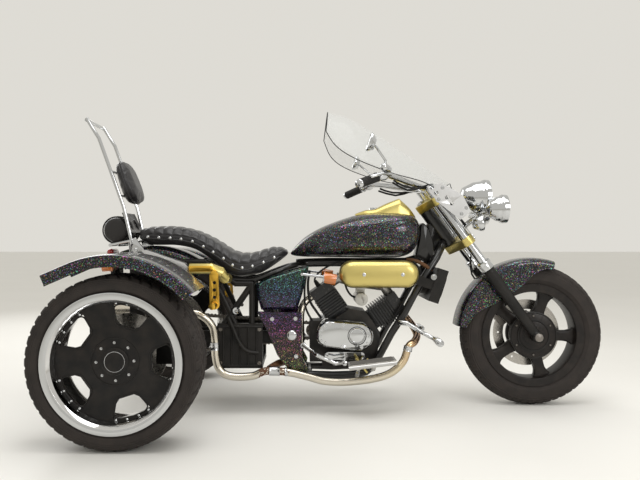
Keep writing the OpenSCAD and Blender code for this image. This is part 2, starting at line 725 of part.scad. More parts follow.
module rear_fender(s) {
    on_side(s) skin([
        for (a = [41:4:113]) band_ring(fender_section, rear_fender_r, a, 0),
        for (run = [48, 96]) band_ring(fender_section, rear_fender_r, 113.4, run)
    ], band = true);
}

module rear_fenders() {
    color("#1b1b22") {
        for (s = [-1, 1]) rear_fender(s);
        skin([for (a = [52:4:120]) band_ring(centre_section, centre_fender_r, a, 0)], band = true);
    }
}

centre_half = 116;
centre_fender_r = 400;
centre_section = [
    [-70, centre_half], [-34, centre_half], [-12, centre_half - 10], [-3, centre_half - 30],
    [0, centre_half - 60], [0, -centre_half + 60], [-3, -centre_half + 30],
    [-12, -centre_half + 10], [-34, -centre_half], [-70, -centre_half],
    [-70, -centre_half + fender_wall], [-36, -centre_half + fender_wall],
    [-12 - fender_wall, -centre_half + 14], [-4 - fender_wall, -centre_half + 34],
    [-4 - fender_wall, centre_half - 34], [-12 - fender_wall, centre_half - 14],
    [-36, centre_half - fender_wall], [-70, centre_half - fender_wall]
];

module fender_stays() {
    color("#a9abae") chassis() for (s = [-1, 1]) {
        plate([[-838, 692], [-820, 694], [-662, 640], [-648, 622], [-652, 606], [-690, 604], [-800, 640]],
            s * 268 - 22, s * 268 + 22);
        on_side(s) {
            yrod(-760, 642, subframe_y + 12 + seat_gap, 250, 10);
            for (p = [[-820, 664], [-748, 652]]) yrod(p[0], p[1], 284, fender_in - seat_gap, 10);
        }
    }
}

upper_cover = [
    [-382, 545], [-316, 576], [-154, 623], [-182, 504], [-203, 438], [-359, 434], [-376, 489]
];
lower_cover = [
    [-376, 425], [-184, 421], [-184, 230], [-158, 181], [-167, 146], [-221, 151], [-290, 240],
    [-334, 347]
];
upper_middle = [-280, 520];

module side_covers() {
    color("#1b1b22") chassis() for (s = [-1, 1]) on_side(s) {
        hull() {
            plate(upper_cover, cover_y, cover_y + 18);
            plate([for (p = upper_cover) mix(upper_middle, p, 0.86)], cover_y + 18, cover_y + 36);
        }
        plate(lower_cover, cover_y, cover_y + 26);
        yrod(pivot[0], pivot[1], cover_y + 26, cover_y + 34, 23);
    }
}

// ---------- pegs, boards and controls ----------

module footboards() {
    color("#77756f") chassis() for (s = [-1, 1]) {
        translate([106, s * 240, 222]) rotate([0, -7, 0])
            translate([-98, -44, -10]) cube([196, 88, 20]);
        for (p = [[52, 150], [116, 178]]) {
            on_side(s) yrod(p[0], p[1], cover_y, 140, 9);
            rod([p[0], s * 138, p[1]], [p[0], s * 204, 192], 9);
            rod([p[0], s * 204, 192], [p[0] + 6, s * 214, 214], 9);
        }
    }
}

module foot_controls() {
    color("#cfd0d2") chassis() for (s = [-1, 1]) {
        rod([-178, s * 160, 284], [-120, s * 208, 250], 8);
        rod([-120, s * 208, 250], [-43, s * 212, 216], 8);
        rod([-43, s * 212, 216], [-8, s * 214, 222], 8);
        rod([-8, s * 214, 222], [-8, s * 266, 228], 11);
        on_side(s) yrod(-178, 284, cover_y + 26 + seat_gap, 164, 12);
    }
}

module highway_pegs() {
    color("#cfd0d2") chassis() for (s = [-1, 1]) {
        on_side(s) yrod(238, 378, cover_y, 140, 11);
        rod([238, s * 138, 378], [262, s * 180, 380], 11);
        rod([262, s * 180, 380], [330, s * 186, 340], 9);
        rod([330, s * 186, 340], [382, s * 190, 312], 9);
        rod([384, s * 186, 310], [384, s * 268, 310], 15);
    }
}

peg_tube = [[-638.7, 250, 616], [-560, 250, 616], [-522, 244, 600], [-508, 210, 574], [-504, 152.4, 570]];

module passenger_pegs() {
    color("#d3a72e") chassis() for (s = [-1, 1]) {
        for (i = [0:len(peg_tube) - 2])
            rod(side_of(peg_tube[i], s), side_of(peg_tube[i + 1], s), 22);
        difference() {
            hull() {
                yrod(-544, 590, s * 279 - 4, s * 279 + 4, 18);
                yrod(-541, 470, s * 279 - 4, s * 279 + 4, 20);
            }
            for (z = [500, 530, 560]) yrod(-542, z, s * 279 - 5, s * 279 + 5, 7);
        }
        on_side(s) {
            yrod(-545, 602, 250, 282, 9);
            yrod(-541, 470, 276, 365, 13);
        }
    }
}

// ---------- lights and plate ----------

module rear_lights() {
    color("#b33a22") chassis() {
        hull() for (y = [-40, 40]) translate([-1033, y, 678.5]) sphere(16, $fn = 20);
        for (s = [-1, 1]) {
            on_side(s) {
                yrod(-184, 588, cover_y + 36 + seat_gap, cover_y + 54, 6);
                yrod(-1002, 620, centre_half + seat_gap, 170, 6);
            }
            rod([-184, s * (cover_y + 48), 588], [-90, s * 176, 577], 6);
            rod([-84, s * 178, 574], [-50, s * 178, 566], 24);
            rod([-1000, s * 168, 620], [-1022, s * 168, 619], 21);
        }
    }
}

plate_hole_gap = 140;  // distance between the plate's two bolt holes

module plate_bracket() {
    color("#3a3a3c") chassis() difference() {
        union() {
            translate([-1016, -100, 500]) cube([4, 200, 120]);
            translate([-1016, -30, 560]) cube([20, 60, 97.6]);
        }
        for (s = [-1, 1]) translate([-1020, s * plate_hole_gap / 2, 590]) rotate([0, 90, 0])
            cylinder(h = 12, r = 3.5);
    }
}

// ---------- steering ----------

module yoke(z) {
    difference() {
        hull() {
            for (s = [-1, 1]) translate([0, s * leg_y, z - yoke_h / 2])
                cylinder(h = yoke_h, r = 31, $fn = 32);
            translate([-fork_offset, 0, z - yoke_h / 2]) cylinder(h = yoke_h, r = 32, $fn = 32);
        }
        for (s = [-1, 1]) translate([0, s * leg_y, z - yoke_h])
            cylinder(h = 2 * yoke_h, r = tube_r + seat_gap);
    }
}

module fork_yokes() {
    color("#c8ae60") fork() {
        yoke(lower_yoke);
        yoke(upper_yoke);
        translate([-fork_offset, 0, lower_yoke]) cylinder(h = upper_yoke - lower_yoke, r = stem_r);
    }
}

module fork_tubes() {
    color("#cdd0d3") fork() for (s = [-1, 1]) translate([0, s * leg_y, 0]) {
        translate([0, 0, slider_top + seat_gap]) cylinder(h = 34, r = slider_r + 3);
        translate([0, 0, slider_top + 30]) cylinder(h = fork_length - slider_top - 30, r = tube_r);
    }
}

module fork_sliders() {
    color("#2c2826") fork() {
        for (s = [-1, 1]) {
            translate([0, s * leg_y, slider_low])
                cylinder(h = slider_top - slider_low, r1 = slider_foot_r, r2 = slider_r);
            yrod(0, 0, s * leg_y - 22, s * leg_y + 22, 24);
            y0 = s > 0 ? fender_half + seat_gap : -leg_y;
            y1 = s > 0 ? leg_y : -fender_half - seat_gap;
            yrod(0, 250, y0, y1, 12);
        }
        yrod(0, 0, -leg_y, leg_y, fork_axle_r);
        for (s = [-1, 1]) yrod(0, 0, s > 0 ? hub_half + 1 : -leg_y, s > 0 ? leg_y : -hub_half - 1, 17);
    }
}

module front_caliper() {
    color("#3b3320") fork() {
        rod([-54, 73.7, 118], [-23, 91.6, 118], 8);
        difference() {
            translate([0, 0, 118]) hull() {
                translate([-78, 39, -28]) cube([38, 42, 56]);
                translate([-30, 62, -12]) cube([6, 19, 24]);
            }
            translate([0, 44, 0]) rotate([-90, 0, 0]) cylinder(h = 15.5, r = front_disc_r + 8);
        }
    }
}

front_fender_r = front_tyre_r + front_fender_rise;

// Depth of the front fender's skirt at an angle about the axle
skirt_stops = [[74, 20], [86, 56], [98, 98], [112, 126], [136, 126], [148, 98], [160, 64], [173, 34]];
function skirt(a) = lookup(a, skirt_stops);

function front_section(a) = let (d = skirt(a), w = fender_half, t = 4) [
    [-max(d, 46), w], [-min(d, 34), w], [-22, w - 8], [-8, w - 26], [0, 0], [-8, -w + 26], [-22, -w + 8],
    [-min(d, 34), -w], [-max(d, 46), -w], [-max(d, 46), -w + t], [-min(d, 34) - 2, -w + t],
    [-26, -w + 12], [-12, -w + 28], [-t, 0], [-12, w - 28], [-26, w - 12], [-min(d, 34) - 2, w - t],
    [-max(d, 46), w - t]
];

function front_ring(a) = [for (p = front_section(a)) [
    front_x + (front_fender_r + p[0]) * cos(a), p[1], front_tyre_r + (front_fender_r + p[0]) * sin(a)
]];

module front_fender() {
    color("#1b1b22") skin([for (a = [74:4.125:173]) front_ring(a)], band = true);
}

bar_path = smooth([
    [370, 0, 958], [364, 50, 958], [322, 104, 966], [240, 184, 986], [172, 262, 1000],
    [121, 305, 989]
], 2);

module handlebar() {
    color("#b9bbbe") on_fork() {
        for (s = [-1, 1]) {
            pipe(side_path(bar_path, s), 12.7);
            rod([121, s * 305, 989], [42, s * 390, 956], 17);
            rod([178, s * 286, 1000], [142, s * 330, 1002], 6);
            rod([142, s * 330, 1002], [88, s * 396, 984], 6);
            hull() {
                translate([162, s * 296, 1022]) sphere(19, $fn = 12);
                translate([146, s * 326, 1028]) sphere(17, $fn = 12);
            }
            hull() {
                translate([150, s * 296, 994]) sphere(18, $fn = 12);
                translate([132, s * 302, 992]) sphere(18, $fn = 12);
            }
            rod(steering_point(1.5, s * 34, upper_yoke + yoke_h / 2 + 6.5),
                steering_point(1.5, s * 34, 799), 15);
        }
    }
}

// Routes of the clutch, throttle and brake lines, which pass close in front of the upper yoke
yoke_front = 31 + 4.5 + seat_gap;
cable_routes = [
    [[196, 250, 980], [250, 200, 958], [330, 120, 956], [392, 60, 966],
     steering_point(yoke_front, 56, 757), steering_point(yoke_front, 56, 712),
     steering_point(42, 54, 640), steering_point(46, 52, 570)],
    [[190, 262, 970], [262, 190, 944], [330, 128, 960], [386, 84, 976],
     steering_point(yoke_front, 74, 757), steering_point(yoke_front, 74, 712),
     steering_point(40, 66, 640), steering_point(40, 62, 570)]
];
brake_hose = [
    steering_point(40, 54, 640), steering_point(42, 60, 560), steering_point(40, 62, 500),
    steering_point(22, 66, 450), steering_point(-14, 67, 400), steering_point(-36, 94, 350),
    steering_point(-38, 104, 270), steering_point(-60, 94, 190), steering_point(-58, 72, 150.5)
];

module control_cables() {
    color("#151515") on_fork() {
        for (s = [-1, 1], route = cable_routes) pipe(side_path(smooth(route, 2), s), 4.5, 8);
        pipe(smooth(brake_hose, 2), 4, 8);
    }
}

module mirrors() {
    color("#cdd0d3") on_fork() for (s = [-1, 1]) {
        rod([154, s * 311, 1045.4], [154, s * 311, 1056], 5);
        rod([154, s * 311, 1056], [102, s * 378, 1112], 5);
        hull() {
            translate([86, s * 384, 1120]) rotate([0, -72, 0]) cylinder(h = 6, r = 38, $fn = 32);
            translate([104, s * 378, 1112]) rotate([0, -72, 0]) cylinder(h = 6, r = 22, $fn = 32);
        }
    }
}

// A lamp that faces forwards, with its rim at the origin
module lamp(r, depth) {
    rotate([0, -90, 0]) rotate_extrude() polygon([
        [0, 0], [r - 4, 0], [r, 4], [r, 20], [r - 5, 24], [r * 0.86, depth * 0.5],
        [r * 0.55, depth * 0.86], [0, depth]
    ]);
}

module front_lamps() {
    color("#d6d8da") on_fork() {
        translate([646, 0, 924]) lamp(78, 128);
        for (s = [-1, 1]) translate([684, s * 150, 866]) lamp(60, 82);
        yrod(608, 842, -150, 150, 9);
        for (s = [-1, 1]) {
            rod([634, s * 150, 866], [608, s * 150, 842], 10);
            rod(steering_point(40.4, s * 26, lower_yoke), steering_point(40.4, s * 26, 562), 9);
            rod(steering_point(40.4, s * 26, 562), [608, s * 26, 842], 9);
        }
        rod([608, 0, 842], [600, 0, 870], 9);
        hull() {
            translate([590, -104, 806]) rotate([0, 90, 0]) cylinder(h = 14, r = 34, $fn = 32);
            translate([560, -104, 806]) rotate([0, 90, 0]) cylinder(h = 14, r = 22, $fn = 32);
        }
        rod([600, -104, 840], [590, -104, 830], 6);
    }
}

// Windshield: middle of the sheet, from its foot to its top, and its side edge
shield_middle = smooth([
    [566, 892], [522, 953], [400, 1040], [264, 1131], [132, 1219], [20, 1281], [-68, 1307]
], 3);
shield_edge = smooth([
    [528, 846], [466, 884], [360, 974], [190, 1018], [40, 1074], [-40, 1128], [-80, 1200]
], 3);
shield_width = smooth([[116, 0], [132, 0], [141.2, 0], [206, 0], [232, 0], [220, 0], [150, 0]], 3);
shield_steps = 10;

// A point of the sheet, i along its middle and u across it from -1 to 1
function shield_at(i, u) = let (k = min(max(i, 0), len(shield_middle) - 1), a = floor(k), f = k - a,
    b = min(a + 1, len(shield_middle) - 1), m = mix(shield_middle[a], shield_middle[b], f),
    e = mix(shield_edge[a], shield_edge[b], f), w = mix(shield_width[a][0], shield_width[b][0], f))
    [mix(m[0], e[0], u * u), w * u, mix(m[1], e[1], u * u)];

// Where the sheet starts, so that it clears the headlamp
function shield_start(u) = 4.2 * max(0, 1 - pow(abs(u) / 0.86, 6));

module windshield() {
    n = len(shield_middle) - 1;
    color([0.8, 0.86, 0.9, 0.35]) on_fork() skin([
        for (k = [0:n]) let (u = [for (j = [0:shield_steps]) 2 * j / shield_steps - 1]) concat(
            [for (v = u) let (p = shield_at(mix(shield_start(v), n, k / n), v)) p],
            [for (j = [shield_steps:-1:0]) let (v = u[j], p = shield_at(mix(shield_start(v), n, k / n), v))
                p + [-2.6, 0, -3.6]]
        )
    ], band = true);
}

bracket_outline = [
    [351, 965], [363, 938], [397, 897], [495, 820], [542, 855], [505, 926], [413, 979]
];
bracket_holes = [[371, 960, 11], [391, 934, 10], [438, 916, 9], [458, 890, 8]];

bracket_boss = [402, 908];  // where the bracket is bolted to the upper yoke

module windshield_brackets() {
    y = leg_y + 35.8;
    color("#c6c2b8") on_fork() for (s = [-1, 1]) on_side(s) {
        difference() {
            union() {
                plate(bracket_outline, y, y + 4);
                yrod(bracket_boss[0], bracket_boss[1], leg_y + 31 + seat_gap, y + 1, 14);
            }
            for (h = bracket_holes) yrod(h[0], h[1], y - 1, y + 5, h[2]);
        }
    }
}

main_frame();
head_tube();
rear_subframe();
axle_carrier();
rear_shocks();
final_drive();
crankcase();
crankcase_covers();
cylinders();
carburettors();
air_cleaner();
exhaust_pipes();
radiator();
fuel_tank();
tank_console();
seat();
rear_fenders();
fender_stays();
side_covers();
sissy_bar();
backrest_pad();
roll_bag();
footboards();
foot_controls();
highway_pegs();
passenger_pegs();
rear_lights();
plate_bracket();
fork_yokes();
fork_tubes();
fork_sliders();
front_caliper();
front_fender();
handlebar();
control_cables();
mirrors();
front_lamps();
windshield();
windshield_brackets();
front_tyre();
front_wheel();
rear_tyre_right();
rear_wheel_right();
rear_tyre_left();
rear_wheel_left();
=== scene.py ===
# %% [markdown]
# # A chrome and flake-painted trike
#
# This notebook dresses a packed trike, which arrives as plain solids in metres: +X runs forwards, +Y to the
# rider's left and +Z up, with z = 0 on the floor. The solids say where everything is. Each cell below adds
# one real piece or one real finish on top of them.

# %% Load the trike
import json
from math import cos, pi, radians, sin, sqrt

import bmesh
import bpy
import numpy as np
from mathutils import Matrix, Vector
from mathutils.bvhtree import BVHTree


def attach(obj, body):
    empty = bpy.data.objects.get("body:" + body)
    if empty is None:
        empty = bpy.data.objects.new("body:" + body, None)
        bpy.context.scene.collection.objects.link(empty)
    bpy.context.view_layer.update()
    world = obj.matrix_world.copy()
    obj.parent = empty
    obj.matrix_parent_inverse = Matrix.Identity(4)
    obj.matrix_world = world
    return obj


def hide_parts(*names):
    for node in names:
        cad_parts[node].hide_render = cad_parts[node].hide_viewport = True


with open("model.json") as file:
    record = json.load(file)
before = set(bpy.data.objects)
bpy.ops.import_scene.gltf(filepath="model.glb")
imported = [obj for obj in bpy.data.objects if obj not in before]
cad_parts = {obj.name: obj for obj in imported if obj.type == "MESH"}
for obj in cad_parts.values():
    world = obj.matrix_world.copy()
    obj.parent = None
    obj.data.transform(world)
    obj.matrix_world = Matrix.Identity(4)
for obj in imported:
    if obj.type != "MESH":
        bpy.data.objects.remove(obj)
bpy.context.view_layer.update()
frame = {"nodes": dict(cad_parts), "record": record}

# %% [markdown]
# ## The studio
#
# A vehicle shows best in wide, even light, because chrome mirrors whatever stands around it. Here the sky is
# a pale sheet, three large soft lamps add shape, and one broad floor catches the shadow. The camera stands
# square to the trike's right side at the height of the tank.

# %% Camera
camera = bpy.data.objects.new("camera", bpy.data.cameras.new("camera"))
bpy.context.scene.collection.objects.link(camera)
camera.location = (-0.1835, -3.1, 0.75)
camera.rotation_euler = (radians(90), 0, 0)
camera.data.lens = 38.8
camera.data.shift_x = 0.028
camera.data.shift_y = -0.006
bpy.context.scene.camera = camera

# %% Light
def lamp(name, place, target, size, watts):
    """A square soft lamp at place, turned so that its face looks at target."""
    light = bpy.data.lights.new(name, "AREA")
    light.size, light.energy = size, watts
    shown = bpy.data.objects.new(name, light)
    shown.location = place
    shown.rotation_euler = (Vector(target) - Vector(place)).to_track_quat("-Z", "Y").to_euler()
    bpy.context.scene.collection.objects.link(shown)


lamp("lamp_over", (0.2, -0.6, 3.4), (0, 0, 0.4), 2.6, 62)
lamp("lamp_front", (2.4, -3.6, 2.2), (0.1, 0, 0.5), 1.6, 42)
lamp("lamp_back", (-2.6, 2.8, 2.4), (0, 0, 0.5), 2.0, 36)
world = bpy.data.worlds.new("pale_sky")
bpy.context.scene.world = world
world.use_nodes = True
world.node_tree.nodes["Background"].inputs["Color"].default_value = (0.94, 0.915, 0.85, 1)
world.node_tree.nodes["Background"].inputs["Strength"].default_value = 0.78
bpy.context.scene.view_settings.view_transform = "Standard"

# %% [markdown]
# ## Shader maths as Python
#
# A finish is a tree of nodes, and most of the tree is arithmetic. One small class wraps an output socket, so
# that `1 - mask * 0.5` adds its own Math nodes, and one method makes every other kind of node.

# %% A value in a finish
class Wire:
    """One output socket. Arithmetic on it adds a Math node and gives the new output."""

    def __init__(self, finish, socket):
        self.finish, self.socket = finish, socket

    def math(self, operation, *values):
        """A Math node on the values given."""
        return self.finish.node("Math", {"operation": operation}, *values)

    def through(self, operation, other=0.0):
        """This value through an operation such as SQRT, or with another through one such as MAXIMUM."""
        return self.math(operation, self, other)

    def __add__(self, other): return self.math("ADD", self, other)
    def __radd__(self, other): return self.math("ADD", other, self)
    def __sub__(self, other): return self.math("SUBTRACT", self, other)
    def __rsub__(self, other): return self.math("SUBTRACT", other, self)
    def __mul__(self, other): return self.math("MULTIPLY", self, other)
    def __rmul__(self, other): return self.math("MULTIPLY", other, self)
    def __gt__(self, other): return self.math("GREATER_THAN", self, other)
    def __lt__(self, other): return self.math("LESS_THAN", self, other)


# %% A finish
class Finish:
    """A material with one Principled shader. Constants go straight to the shader's own sockets."""

    def __init__(self, name, **constants):
        self.material = bpy.data.materials.new(name)
        self.material.use_nodes = True
        self.tree = self.material.node_tree
        self.shader = self.tree.nodes["Principled BSDF"]
        self.paint(**constants)

    def feed(self, socket, value):
        """Links a wire to a socket, or sets the socket to a constant."""
        if isinstance(value, Wire):
            self.tree.links.new(value.socket, socket)
        else:
            socket.default_value = value

    def paint(self, **sockets):
        """Feeds the shader's sockets, named as in Blender with _ for a space."""
        for name, value in sockets.items():
            self.feed(self.shader.inputs[name.replace("_", " ")], value)
        return self

    def node(self, kind, settings, *values, out=0, **named):
        """Any other node: its settings first, then its sockets in order, then its sockets by name."""
        made = self.tree.nodes.new("ShaderNode" + kind)
        for key, value in settings.items():
            setattr(made, key, value)
        for socket, value in zip(made.inputs, values):
            self.feed(socket, value)
        for name, value in named.items():
            self.feed(made.inputs[name], value)
        return Wire(self, made.outputs[out])

    def where(self, centre=(0, 0, 0), stretch=(1, 1, 1)):
        """The point being shaded, measured from centre, with each axis multiplied by stretch."""
        place = self.node("TexCoord", {}, out="Object")
        moved = self.node("VectorMath", {"operation": "SUBTRACT"}, place, tuple(centre))
        return self.node("VectorMath", {"operation": "MULTIPLY"}, moved, tuple(stretch))

    def axes(self, place):
        """The x, y and z of a place, as three wires."""
        split = self.node("SeparateXYZ", {}, place)
        return [Wire(self, split.socket.node.outputs[i]) for i in range(3)]

    def noise(self, size, detail=3.0, stretch=(1, 1, 1)):
        """Cloudy noise from 0 to 1, whose patches are about size metres across."""
        return self.node("TexNoise", {}, Vector=self.where(stretch=stretch), Scale=1 / size,
                         Detail=detail)

    def cells(self, size, out="Color", feature="F1"):
        """Random cells about size metres across."""
        return self.node("TexVoronoi", {"feature": feature}, Vector=self.where(), Scale=1 / size, out=out)

    def ramp(self, value, *stops):
        """A colour ramp through (place, colour) stops."""
        made = self.node("ValToRGB", {}, value)
        line = made.socket.node.color_ramp
        for i, (place, colour) in enumerate(stops):
            stop = line.elements[i] if i < 2 else line.elements.new(place)
            stop.position, stop.color = place, (*colour, 1)
        return made

    def mix(self, mask, a, b):
        """Colour a where mask is 0 and colour b where it is 1."""
        made = self.tree.nodes.new("ShaderNodeMix")
        made.data_type = "RGBA"
        for socket, value in zip((made.inputs[0], made.inputs[6], made.inputs[7]), (mask, a, b)):
            self.feed(socket, (*value, 1) if isinstance(value, tuple) else value)
        return Wire(self, made.outputs[2])

    def relief(self, height, depth):
        """A bump from a height of 0 to 1, which stands depth metres high."""
        return self.node("Bump", {}, Height=height, Distance=depth, Strength=1.0)


print("shader helpers ready")

# %% [markdown]
# ## Flake paint
#
# The bodywork is black with coarse holographic flake under thick clear lacquer. Each flake is one cell of a
# Voronoi pattern: a random number decides whether it shines, another picks its hue, and a third how bright
# it is. Two sizes of flake are laid over each other. On the side covers the hue also drifts with height,
# from blue at the top through green to red, as such film does when it bends the light.

# %% Make the flake paint
def flake_paint(name, drift=0.0):
    """Black paint with bright random cells. drift is how far the hue turns over 0.3 m of height."""
    f = Finish(name, Specular_IOR_Level=0.15, Coat_Weight=0.55, Coat_Roughness=0.03, Coat_IOR=1.5)
    height = f.axes(f.where())[2]
    colour = (0.004, 0.004, 0.007)
    shine = 0.0
    for size, rare in ((0.0017, 0.83), (0.0036, 0.93)):
        cell = f.node("SeparateColor", {}, f.cells(size))
        chance, hue, light = (Wire(f, cell.socket.node.outputs[i]) for i in range(3))
        lit = chance > rare
        tone = hue * (0.35 if drift else 1.0) + height * (-drift / 0.3) + (2.35 if drift else 0.5)
        flake = f.node("CombineColor", {"mode": "HSV"}, tone.through("FRACT"), 0.72,
                       light * light * 0.62 + 0.05)
        colour = f.mix(lit, colour, flake)
        shine = lit * 0.75 + shine * 0.9
    f.paint(Base_Color=colour, Metallic=shine.through("MINIMUM", 0.9))
    f.paint(Roughness=f.noise(0.05) * 0.08 + 0.24)
    return f.material


tank_paint = flake_paint("tank_paint")
cover_paint = flake_paint("cover_paint", drift=0.55)
print("flake paints:", tank_paint.name, cover_paint.name)

# %% [markdown]
# ## Metals
#
# Most bare metal here is one of four kinds: chrome, satin gold anodising, brushed steel and black enamel. A
# flat mirror looks false, so each carries faint wipe marks in its roughness, and the steel and cast parts
# have a fine grain in their relief. The exhaust is stainless that has been hot: straw-coloured near the
# engine, pale further on, and rusty where two pipes join.

# %% Chrome, gold, steel and enamel
def metal(name, colour, rough, smear=0.06, grain=0.0, grain_size=0.002, stretch=(1, 1, 1), dirt=0.0):
    """A bare metal whose roughness wanders by smear, with an optional grain and a little grey dirt."""
    f = Finish(name, Metallic=1.0)
    marks = f.noise(0.045, 4.0)
    f.paint(Base_Color=(*colour, 1), Roughness=marks * smear + (rough - smear / 2))
    if dirt:
        grime = f.noise(0.03, 5.0)
        spots = (grime > 0.6) * dirt
        f.paint(Base_Color=f.mix(spots, colour, (0.12, 0.1, 0.08)),
                Roughness=marks * smear + spots * 0.3 + rough)
    if grain:
        f.paint(Normal=f.relief(f.noise(grain_size, 2.0, stretch), grain))
    return f.material


def enamel(name, colour, rough, cast=0.0, gloss=0.5, dust=0.0):
    """Painted or cast metal: plain colour with a coat, an optional cast texture and pale dust."""
    f = Finish(name, Coat_Roughness=0.08, Coat_Weight=gloss, Specular_IOR_Level=0.22)
    cloud = f.noise(0.06, 5.0)
    worn = (cloud * 1.6 - 0.5) * dust
    f.paint(Base_Color=f.mix(worn, colour, (0.22, 0.19, 0.16)), Roughness=cloud * 0.14 + rough)
    if cast:
        f.paint(Normal=f.relief(f.noise(0.0016, 3.0), cast))
    return f.material


chrome = metal("chrome", (0.58, 0.59, 0.6), 0.08)
dull_chrome = metal("dull_chrome", (0.5, 0.49, 0.47), 0.2, 0.12, dirt=0.35)
gold = metal("gold_satin", (0.64, 0.53, 0.19), 0.34, 0.08, grain=0.00004, grain_size=0.0012)
steel = metal("brushed_steel", (0.6, 0.6, 0.6), 0.3, 0.1, grain=0.00004, stretch=(0.1, 1, 4))
dark_steel = metal("dark_steel", (0.24, 0.22, 0.2), 0.38, 0.15, dirt=0.5)
alloy = metal("cast_alloy", (0.5, 0.49, 0.46), 0.42, 0.12, grain=0.0001, dirt=0.4)
black_gloss = enamel("black_gloss", (0.006, 0.006, 0.006), 0.3, gloss=0.6, dust=0.06)
black_satin = enamel("black_satin", (0.007, 0.0065, 0.006), 0.4, cast=0.00006, gloss=0.08, dust=0.08)
engine_black = enamel("engine_black", (0.01, 0.0095, 0.009), 0.5, cast=0.00025, gloss=0.06, dust=0.22)
print("finishes so far:", len(bpy.data.materials))

# %% Hot exhaust steel
def exhaust_steel():
    """Pale stainless with straw and blue bands near the ports and rust where the pipes join."""
    f = Finish("exhaust_steel", Metallic=1.0)
    x, _, z = f.axes(f.where())
    heat = x * 1.6 + z * 1.1 + f.noise(0.08) * 0.35 - 0.36
    tint = f.ramp(heat, (0.1, (0.66, 0.61, 0.52)), (0.45, (0.7, 0.6, 0.42)), (0.62, (0.55, 0.36, 0.2)),
                  (0.78, (0.26, 0.24, 0.33)))
    across, up = x + 0.305, z - 0.19
    away = (across * across + up * up).through("SQRT")
    rust = ((away + f.noise(0.02, 5.0) * 0.1) < 0.115) * (f.noise(0.006, 4.0) > 0.42)
    f.paint(Base_Color=f.mix(rust, tint, (0.11, 0.045, 0.018)), Metallic=1 - rust * 0.9,
            Roughness=f.noise(0.03, 4.0) * 0.14 + rust * 0.5 + 0.14)
    return f.material


hot_steel = exhaust_steel()

# %% [markdown]
# ## Leather, rubber and clear parts
#
# Seat leather is nearly black, with a pebbled grain of about 1.5 mm and a soft sheen. The tyres are older
# rubber, browned by dust in cloudy patches. Lamps and the windshield are clear plastic.

# %% Leather
def leather(name, colour, grain=0.0016, depth=0.00022):
    """Pebbled leather: cells for the pebbles, cloudy noise for creases, and a wandering sheen."""
    f = Finish(name, Sheen_Weight=0.05, Coat_Weight=0.15, Coat_Roughness=0.3, Specular_IOR_Level=0.35)
    pebble = f.cells(grain, out="Distance", feature="SMOOTH_F1")
    crease = f.noise(0.012, 4.0)
    cloud = f.noise(0.07, 3.0)
    f.paint(Base_Color=f.mix(cloud, colour, tuple(c * 1.9 + 0.004 for c in colour)),
            Roughness=cloud * 0.14 + 0.34, Normal=f.relief(pebble * 0.7 + crease * 0.9, depth))
    return f.material


seat_leather = leather("seat_leather", (0.010, 0.0095, 0.0105))
bag_leather = leather("bag_leather", (0.009, 0.0075, 0.007), 0.0022, 0.0003)

# %% Rubber
def rubber(name, colour, dust_colour, dust, grain=0.00012):
    """Matt rubber with brown dust in a cloudy pattern and a very fine grain."""
    f = Finish(name, Specular_IOR_Level=0.3)
    cloud = f.noise(0.05, 6.0)
    f.paint(Base_Color=f.mix(cloud * dust, colour, dust_colour), Roughness=cloud * 0.12 + 0.72,
            Normal=f.relief(f.noise(0.0012, 2.0), grain))
    return f.material


tyre_rubber = rubber("tyre_rubber", (0.012, 0.0108, 0.0104), (0.07, 0.055, 0.047), 0.55)
grip_rubber = rubber("grip_rubber", (0.014, 0.014, 0.014), (0.05, 0.046, 0.04), 0.3)
board_rubber = rubber("board_rubber", (0.09, 0.088, 0.084), (0.24, 0.22, 0.19), 0.5)
cable_black = rubber("cable_black", (0.01, 0.01, 0.01), (0.03, 0.03, 0.03), 0.2, 0.00004)
brown_hose = rubber("brown_hose", (0.09, 0.04, 0.018), (0.2, 0.11, 0.05), 0.4)

# %% Clear plastic
def clear(name, colour, alpha, rough=0.04):
    """Clear plastic, as a thin coat of the colour over whatever is behind it."""
    f = Finish(name, Roughness=rough, Alpha=alpha, Specular_IOR_Level=0.35, Coat_Weight=0.2,
               Coat_Roughness=0.02)
    streak = f.noise(0.05, 3.0)
    f.paint(Base_Color=f.mix(streak * 0.4, colour, tuple(min(1.0, c + 0.06) for c in colour)))
    return f.material


screen_clear = clear("screen_clear", (0.7, 0.73, 0.73), 0.1)
lamp_glass = clear("lamp_glass", (0.86, 0.9, 0.92), 0.32)
print("finishes:", len(bpy.data.materials))

# %% [markdown]
# ## The floor
#
# A painted workshop floor is pale and a little uneven. It is one wide sheet, and it isn't part of the trike.

# %% Lay the floor
floor_mesh = bpy.data.meshes.new("floor")
floor_mesh.from_pydata([(-30, -30, 0), (30, -30, 0), (30, 30, 0), (-30, 30, 0)], [], [(0, 1, 2, 3)])
floor = bpy.data.objects.new("floor", floor_mesh)
bpy.context.scene.collection.objects.link(floor)
screed = Finish("screed", Specular_IOR_Level=0.3)
patch = screed.noise(0.9, 4.0)
screed.paint(Base_Color=screed.mix(patch, (0.76, 0.75, 0.715), (0.83, 0.82, 0.79)),
             Roughness=patch * 0.2 + 0.45)
floor_mesh.materials.append(screed.material)

# %% [markdown]
# ## Shapes from arrays
#
# Every new piece is a grid of points worked out as one array. Three kinds cover almost the whole trike: a
# profile turned about a line (lamps, bolts, tyres), a circle carried along a path (pipes, bars, cables) and
# a sheet between two edges (fenders, windshield, tank). A small part that repeats, such as a bolt, is one
# template copied to many places at once.

# %% Places that several pieces share, in millimetres
REAR_X, REAR_Z, HALF_TRACK = -842.5, 308, 620
FRONT_X, FRONT_Z = 838.5, 312
print("wheelbase:", FRONT_X - REAR_X, "track:", 2 * HALF_TRACK)

# %% Grids, curves and directions
def metres(points):
    """Millimetres to metres."""
    return np.asarray(points, float) / 1000


